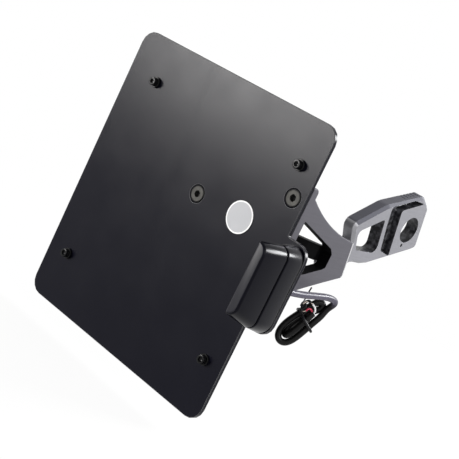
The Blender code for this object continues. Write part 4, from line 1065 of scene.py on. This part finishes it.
# The plate lamp
# A slim black housing in two moulded halves on a rubber gasket: a base ring that tapers
# away from the ear, and a hood whose slanted left side holds the clear window.

LAMP_SIDES = 96
LAMP_BACK_RIGHT = 0.0278
LAMP_LEAN = 0.0014
LAMP_BACK_WIDTH = 0.0196
LAMP_JOINT_WIDTH = 0.0142
LAMP_FRONT_WIDTH = 0.0075
LAMP_BACK_LENGTH = 0.0575
LAMP_JOINT_LENGTH = 0.0530
LAMP_FRONT_LENGTH = 0.0460
LAMP_TOP = -0.0245
LAMP_TOP_DROP = 0.0006
BASE_BACK = -0.1420
BASE_FRONT = -0.1587
COVER_BACK = -0.1599
COVER_FRONT = -0.1824
COVER_ROUND = 0.0016
BASE_ROUND = 0.0009
CAVITY_ROUND = 0.0019
LAMP_WALL = 0.0018
GASKET_BACK = -0.1400
GASKET_FRONT = -0.1417
GASKET_INSET = 0.0012
LIP_INSET = 0.0012
HOOD_FRONT_TURN = -0.93
EDGE_RINGS = 6


def lamp_ring(y, inset, rounding=COVER_ROUND, slanted=False):
    """Points round the lamp at a depth, moved inwards by an inset."""
    in_base = min(max((BASE_BACK - y) / (BASE_BACK - BASE_FRONT), 0), 1)
    in_cover = min(max((COVER_BACK - y) / (COVER_BACK - COVER_FRONT), 0), 1)
    width = LAMP_BACK_WIDTH + in_base * (LAMP_JOINT_WIDTH - LAMP_BACK_WIDTH)
    length = LAMP_BACK_LENGTH + in_base * (LAMP_JOINT_LENGTH - LAMP_BACK_LENGTH)
    length += in_cover * (LAMP_FRONT_LENGTH - LAMP_JOINT_LENGTH)
    right = LAMP_BACK_RIGHT + in_base * LAMP_LEAN
    top = LAMP_TOP - in_base * LAMP_TOP_DROP
    centre_x, centre_z = right - width / 2, top - length / 2
    straight = (length - width) / 2
    radius = width / 2 - rounding
    cut = -1.0
    if slanted:
        cut = right - width + in_cover * (LAMP_JOINT_WIDTH - LAMP_FRONT_WIDTH) + rounding
    points = []
    for number in range(LAMP_SIDES):
        angle = math.tau * (number + 0.5) / LAMP_SIDES
        x = centre_x + radius * math.cos(angle)
        z = radius * math.sin(angle)
        if x < cut:
            x = cut
            z = math.copysign(math.sqrt(max(radius ** 2 - (x - centre_x) ** 2, 0)), math.sin(angle))
        z += centre_z + math.copysign(straight, math.sin(angle))
        left_over = rounding - inset
        points.append((x + left_over * math.cos(angle), y, z + left_over * math.sin(angle)))
    return points


def edge_steps(face, inwards, rounding):
    """(depth, inset) pairs round a moulded edge, from its face to its side."""
    pairs = []
    for number in range(EDGE_RINGS + 1):
        turn = math.radians(90) * number / EDGE_RINGS
        depth = face + inwards * rounding * (1 - math.cos(turn))
        pairs.append((depth, rounding * (1 - math.sin(turn))))
    return pairs


def hollow(piece, cavity_mesh):
    """Takes a cavity out of a piece."""
    tool = new_piece(f"{piece.name}_cavity", cavity_mesh)
    boolean = piece.modifiers.new("cavity", "BOOLEAN")
    boolean.object = tool
    boolean.operation = "DIFFERENCE"
    applied(piece)
    bpy.data.objects.remove(tool)


moulded_black = plain_grained("moulded_black_plastic", (0.0015, 0.0015, 0.0040), scale=1700.0,
                              depth=0.05, gloss=(0.19, 0.24), specular=0.08)
# Lighter colour on the hood's front face, as painted light.
hood_front_painted_light = plain_grained("moulded_front_skin", (0.0060, 0.0060, 0.0100), scale=1700.0,
                              depth=0.10, gloss=(0.30, 0.36), specular=0.22)
gasket_rubber = plain_grained("black_rubber", (0.010, 0.010, 0.010), scale=1300.0, depth=0.25,
                              gloss=(0.65, 0.85), specular=0.3)

gasket_rings = [lamp_ring(y, GASKET_INSET) for y in (GASKET_BACK, GASKET_FRONT)]
gasket = new_piece("lamp_gasket_sheet", loft(gasket_rings), gasket_rubber)
stands_for(gasket, "black_rubber", "lamp_gasket")

base_rings = [lamp_ring(y, i) for y, i in edge_steps(BASE_BACK, -1, BASE_ROUND)]
base_rings += [lamp_ring(y, i) for y, i in reversed(edge_steps(BASE_FRONT, 1, BASE_ROUND))]
base_rings += [lamp_ring(y, LIP_INSET) for y in (BASE_FRONT, COVER_BACK + SEAT_GAP)]
lamp_base = new_piece("lamp_base_ring", loft(base_rings), moulded_black)
hollow(lamp_base, loft([
    lamp_ring(y, LAMP_WALL + LIP_INSET) for y in (COVER_BACK - SEAT_GAP, BASE_BACK - LAMP_WALL)
]))
stands_for(lamp_base, "black_plastic", "lamp_base")

cover_steps = edge_steps(COVER_BACK, -1, BASE_ROUND)
cover_steps += reversed(edge_steps(COVER_FRONT, 1, COVER_ROUND))
cover_rings = [lamp_ring(y, i, slanted=True) for y, i in cover_steps]
lamp_cover = new_piece("lamp_hood", loft(cover_rings), moulded_black, hood_front_painted_light)
# The faces looking straight forward get the painted light of the front.
for polygon in lamp_cover.data.polygons:
    if polygon.normal.y < HOOD_FRONT_TURN:
        polygon.material_index = SECOND_MATERIAL
hollow(lamp_cover, loft([
    lamp_ring(y, LAMP_WALL, CAVITY_ROUND, slanted=True)
    for y in (COVER_BACK + SEAT_GAP, COVER_FRONT + LAMP_WALL)
]))

# The lens and the board behind it
# A clear acrylic window with fine upright flutes inside, glued flush into an opening in
# the hood's slanted side. Behind it a green circuit board carries three light diodes.

LENS_WIDTH = 0.0120
LENS_LENGTH = 0.0270
LENS_THICKNESS = 0.0012
LENS_SEAT_GAP = 0.00025
LENS_SEAT_DEPTH = 0.0030
FLUTES = 12
FLUTE_STEPS = 6
FLUTE_DEPTH = 0.00025
LENS_EDGE = 0.00015
BOARD_THICKNESS = 0.0011
BOARD_SOFT_EDGE = 0.00012
SLANT = math.atan((LAMP_JOINT_WIDTH - LAMP_FRONT_WIDTH) / (COVER_BACK - COVER_FRONT))


def lens_section(edge):
    """Points across the lens: flat outside, fluted inside, less an edge all round."""
    half = LENS_WIDTH / 2 - edge
    points = [(-half, -edge), (half, -edge)]
    count = FLUTES * FLUTE_STEPS
    for number in range(count + 1):
        share = number / count
        dent = FLUTE_DEPTH * abs(math.sin(math.pi * FLUTES * share))
        points.append((half - 2 * half * share, -LENS_THICKNESS + edge + dent))
    return points


def lens_matrix():
    """Matrix of the lens's outer face: Z looks out of the lamp's slanted side, Y up."""
    middle = middle_of("lamp_lens")
    out = Vector((-math.cos(SLANT), -math.sin(SLANT), 0.0))
    up = Vector((0.0, 0.0, 1.0))
    turn = Matrix((up.cross(out), up, out)).transposed().to_4x4()
    return Matrix.Translation(middle + out * LENS_THICKNESS / 2) @ turn


def clear_acrylic():
    """Clear window plastic with faint haze."""
    material, _, _, shader = grained("clear_acrylic", (0.92, 0.93, 0.95), scale=900.0, depth=0.02,
                                     gloss=(0.04, 0.09))
    with_inputs(shader, {"Transmission Weight": 1.0, "IOR": 1.49})
    return material


def green_board():
    """Solder lacquer over thin copper tracks."""
    material, nodes, links, shader = grained("green_board", (0.02, 0.12, 0.05), scale=1500.0,
                                             depth=0.08, gloss=(0.3, 0.4))
    place = nodes.new("ShaderNodeTexCoord")
    stretch = with_inputs(nodes.new("ShaderNodeMapping"),
                          {"Rotation": (math.radians(90), 0.0, 0.0)})
    tracks = with_inputs(nodes.new("ShaderNodeTexBrick"), {
        "Color1": (0.02, 0.13, 0.05, 1.0), "Color2": (0.02, 0.10, 0.045, 1.0),
        "Mortar": (0.05, 0.26, 0.10, 1.0), "Scale": 260.0,
    })
    join(links, (place, "Object", stretch, "Vector"), (stretch, "Vector", tracks, "Vector"),
         (tracks, "Color", shader, "Base Color"))
    return material


def seat_mesh():
    """Block that opens the hood's wall round the lens."""
    across = LENS_WIDTH / 2 + LENS_SEAT_GAP
    along = LENS_LENGTH / 2 + LENS_SEAT_GAP
    corners = [(across, -along), (across, along), (-across, along), (-across, -along)]
    return loft([
        [lens_place @ Vector((x, y, z)) for x, y in corners]
        for z in (-LENS_SEAT_DEPTH, LENS_SEAT_DEPTH)
    ])


lens_place = lens_matrix()
hollow(lamp_cover, seat_mesh())
stands_for(lamp_cover, "black_plastic", "lamp_cover")
lens_rings = []
for edge, along in ((LENS_EDGE, 0.0), (0.0, LENS_EDGE), (0.0, LENS_LENGTH - LENS_EDGE),
                    (LENS_EDGE, LENS_LENGTH)):
    lens_rings.append([
        lens_place @ Vector((x, along - LENS_LENGTH / 2, z)) for x, z in lens_section(edge)
    ])
lens = new_piece("lamp_window", loft(lens_rings), clear_acrylic())
stands_for(lens, "clear_lens", "lamp_lens")
diode_resin = plain_grained("diode_resin", (0.85, 0.72, 0.25), scale=1400.0, depth=0.05,
                            gloss=(0.2, 0.3))
board = welded_copy("led_board", "diode_board", green_board(), diode_resin)
board_out = lens_place.to_3x3() @ Vector((0.0, 0.0, 1.0))
board_front = min(board_out.dot(v.co) for v in board.data.vertices) + BOARD_THICKNESS
for polygon in board.data.polygons:
    if board_out.dot(polygon.center) > board_front:
        polygon.material_index = SECOND_MATERIAL
stands_for(soften(board, BOARD_SOFT_EDGE, 2), "board_green", "led_board")

# The lamp's fixings
# Two zinc-grey studs pull the lamp against the ear, each with a washer and a nut behind
# it, and a soft rubber grommet guides the cable through the ear between them.

STUD_HEAD_RADIUS = 0.0034
STUD_HEAD_HEIGHT = 0.0016
LAMP_WASHER_RADIUS = 0.0045
LAMP_WASHER_THICKNESS = 0.0008
ZINC_BANDS = [(0.0, (0.22, 0.22, 0.21)), (CAP_SHANK_RADIUS, (0.27, 0.27, 0.26)),
              (NUT_FLATS / 2, (0.32, 0.31, 0.29))]
GROMMET_NECK = 0.0037
GROMMET_RADIUS = 0.0052
GROMMET_LIP = 0.0022
GROMMET_ROUND = 0.0007
GROMMET_MOUTH = 0.0026


def stud(length):
    """Round-headed stud whose head stands on the origin."""
    rings = [
        ring(STUD_HEAD_RADIUS * math.cos(turn), STUD_HEAD_HEIGHT * (0.4 + 0.6 * math.sin(turn)))
        for turn in (math.radians(degrees) for degrees in (80, 60, 40, 20, 0))
    ]
    rings += [ring(STUD_HEAD_RADIUS, 0), ring(CAP_SHANK_RADIUS, 0)]
    rings += thread_rings(CAP_SHANK_RADIUS, -CAP_EDGE, -length + CAP_EDGE)
    rings.append(ring(CAP_SHANK_RADIUS - THREAD_DEPTH * 1.2, -length))
    return loft(rings)


zinc_steel = turned_steel("zinc_grey_steel", (0.27, 0.27, 0.26), metallic=0.9, gloss=(0.30, 0.42),
                          bands=ZINC_BANDS, reach=LAMP_WASHER_RADIUS)
stud_low, stud_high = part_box("lamp_stud_1")
stud_seat = stud_low.y + STUD_HEAD_HEIGHT
set_of("lamp_studs", stud(stud_high.y - stud_seat), zinc_steel, "grey_steel",
       numbered("lamp_stud", 2), stud_seat, seed=4)
set_of("lamp_washers", washer(LAMP_WASHER_RADIUS, LAMP_WASHER_THICKNESS), zinc_steel,
       "grey_steel", numbered("lamp_washer", 2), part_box("lamp_washer_1")[1].y)
set_of("lamp_nuts", nut(), zinc_steel, "grey_steel", numbered("lamp_nut", 2),
       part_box("lamp_nut_1")[0].y, seed=6)

grommet_low, grommet_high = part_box("cable_grommet")
grommet_rings = [ring(GROMMET_NECK, grommet_high.y - grommet_low.y),
                 ring(GROMMET_NECK, GROMMET_LIP), ring(GROMMET_RADIUS, GROMMET_LIP)]
for step in range(6):
    turn = math.radians(18 * step)
    grommet_rings.append(ring(GROMMET_RADIUS - GROMMET_ROUND * (1 - math.cos(turn)),
                              GROMMET_ROUND * (1 - math.sin(turn))))
grommet_rings += [ring(GROMMET_MOUTH, 0), ring(GROMMET_MOUTH * 0.9, GROMMET_ROUND)]
set_of("lamp_grommet", loft(grommet_rings), gasket_rubber, "black_rubber", ["cable_grommet"],
       grommet_high.y, spin=0.0)
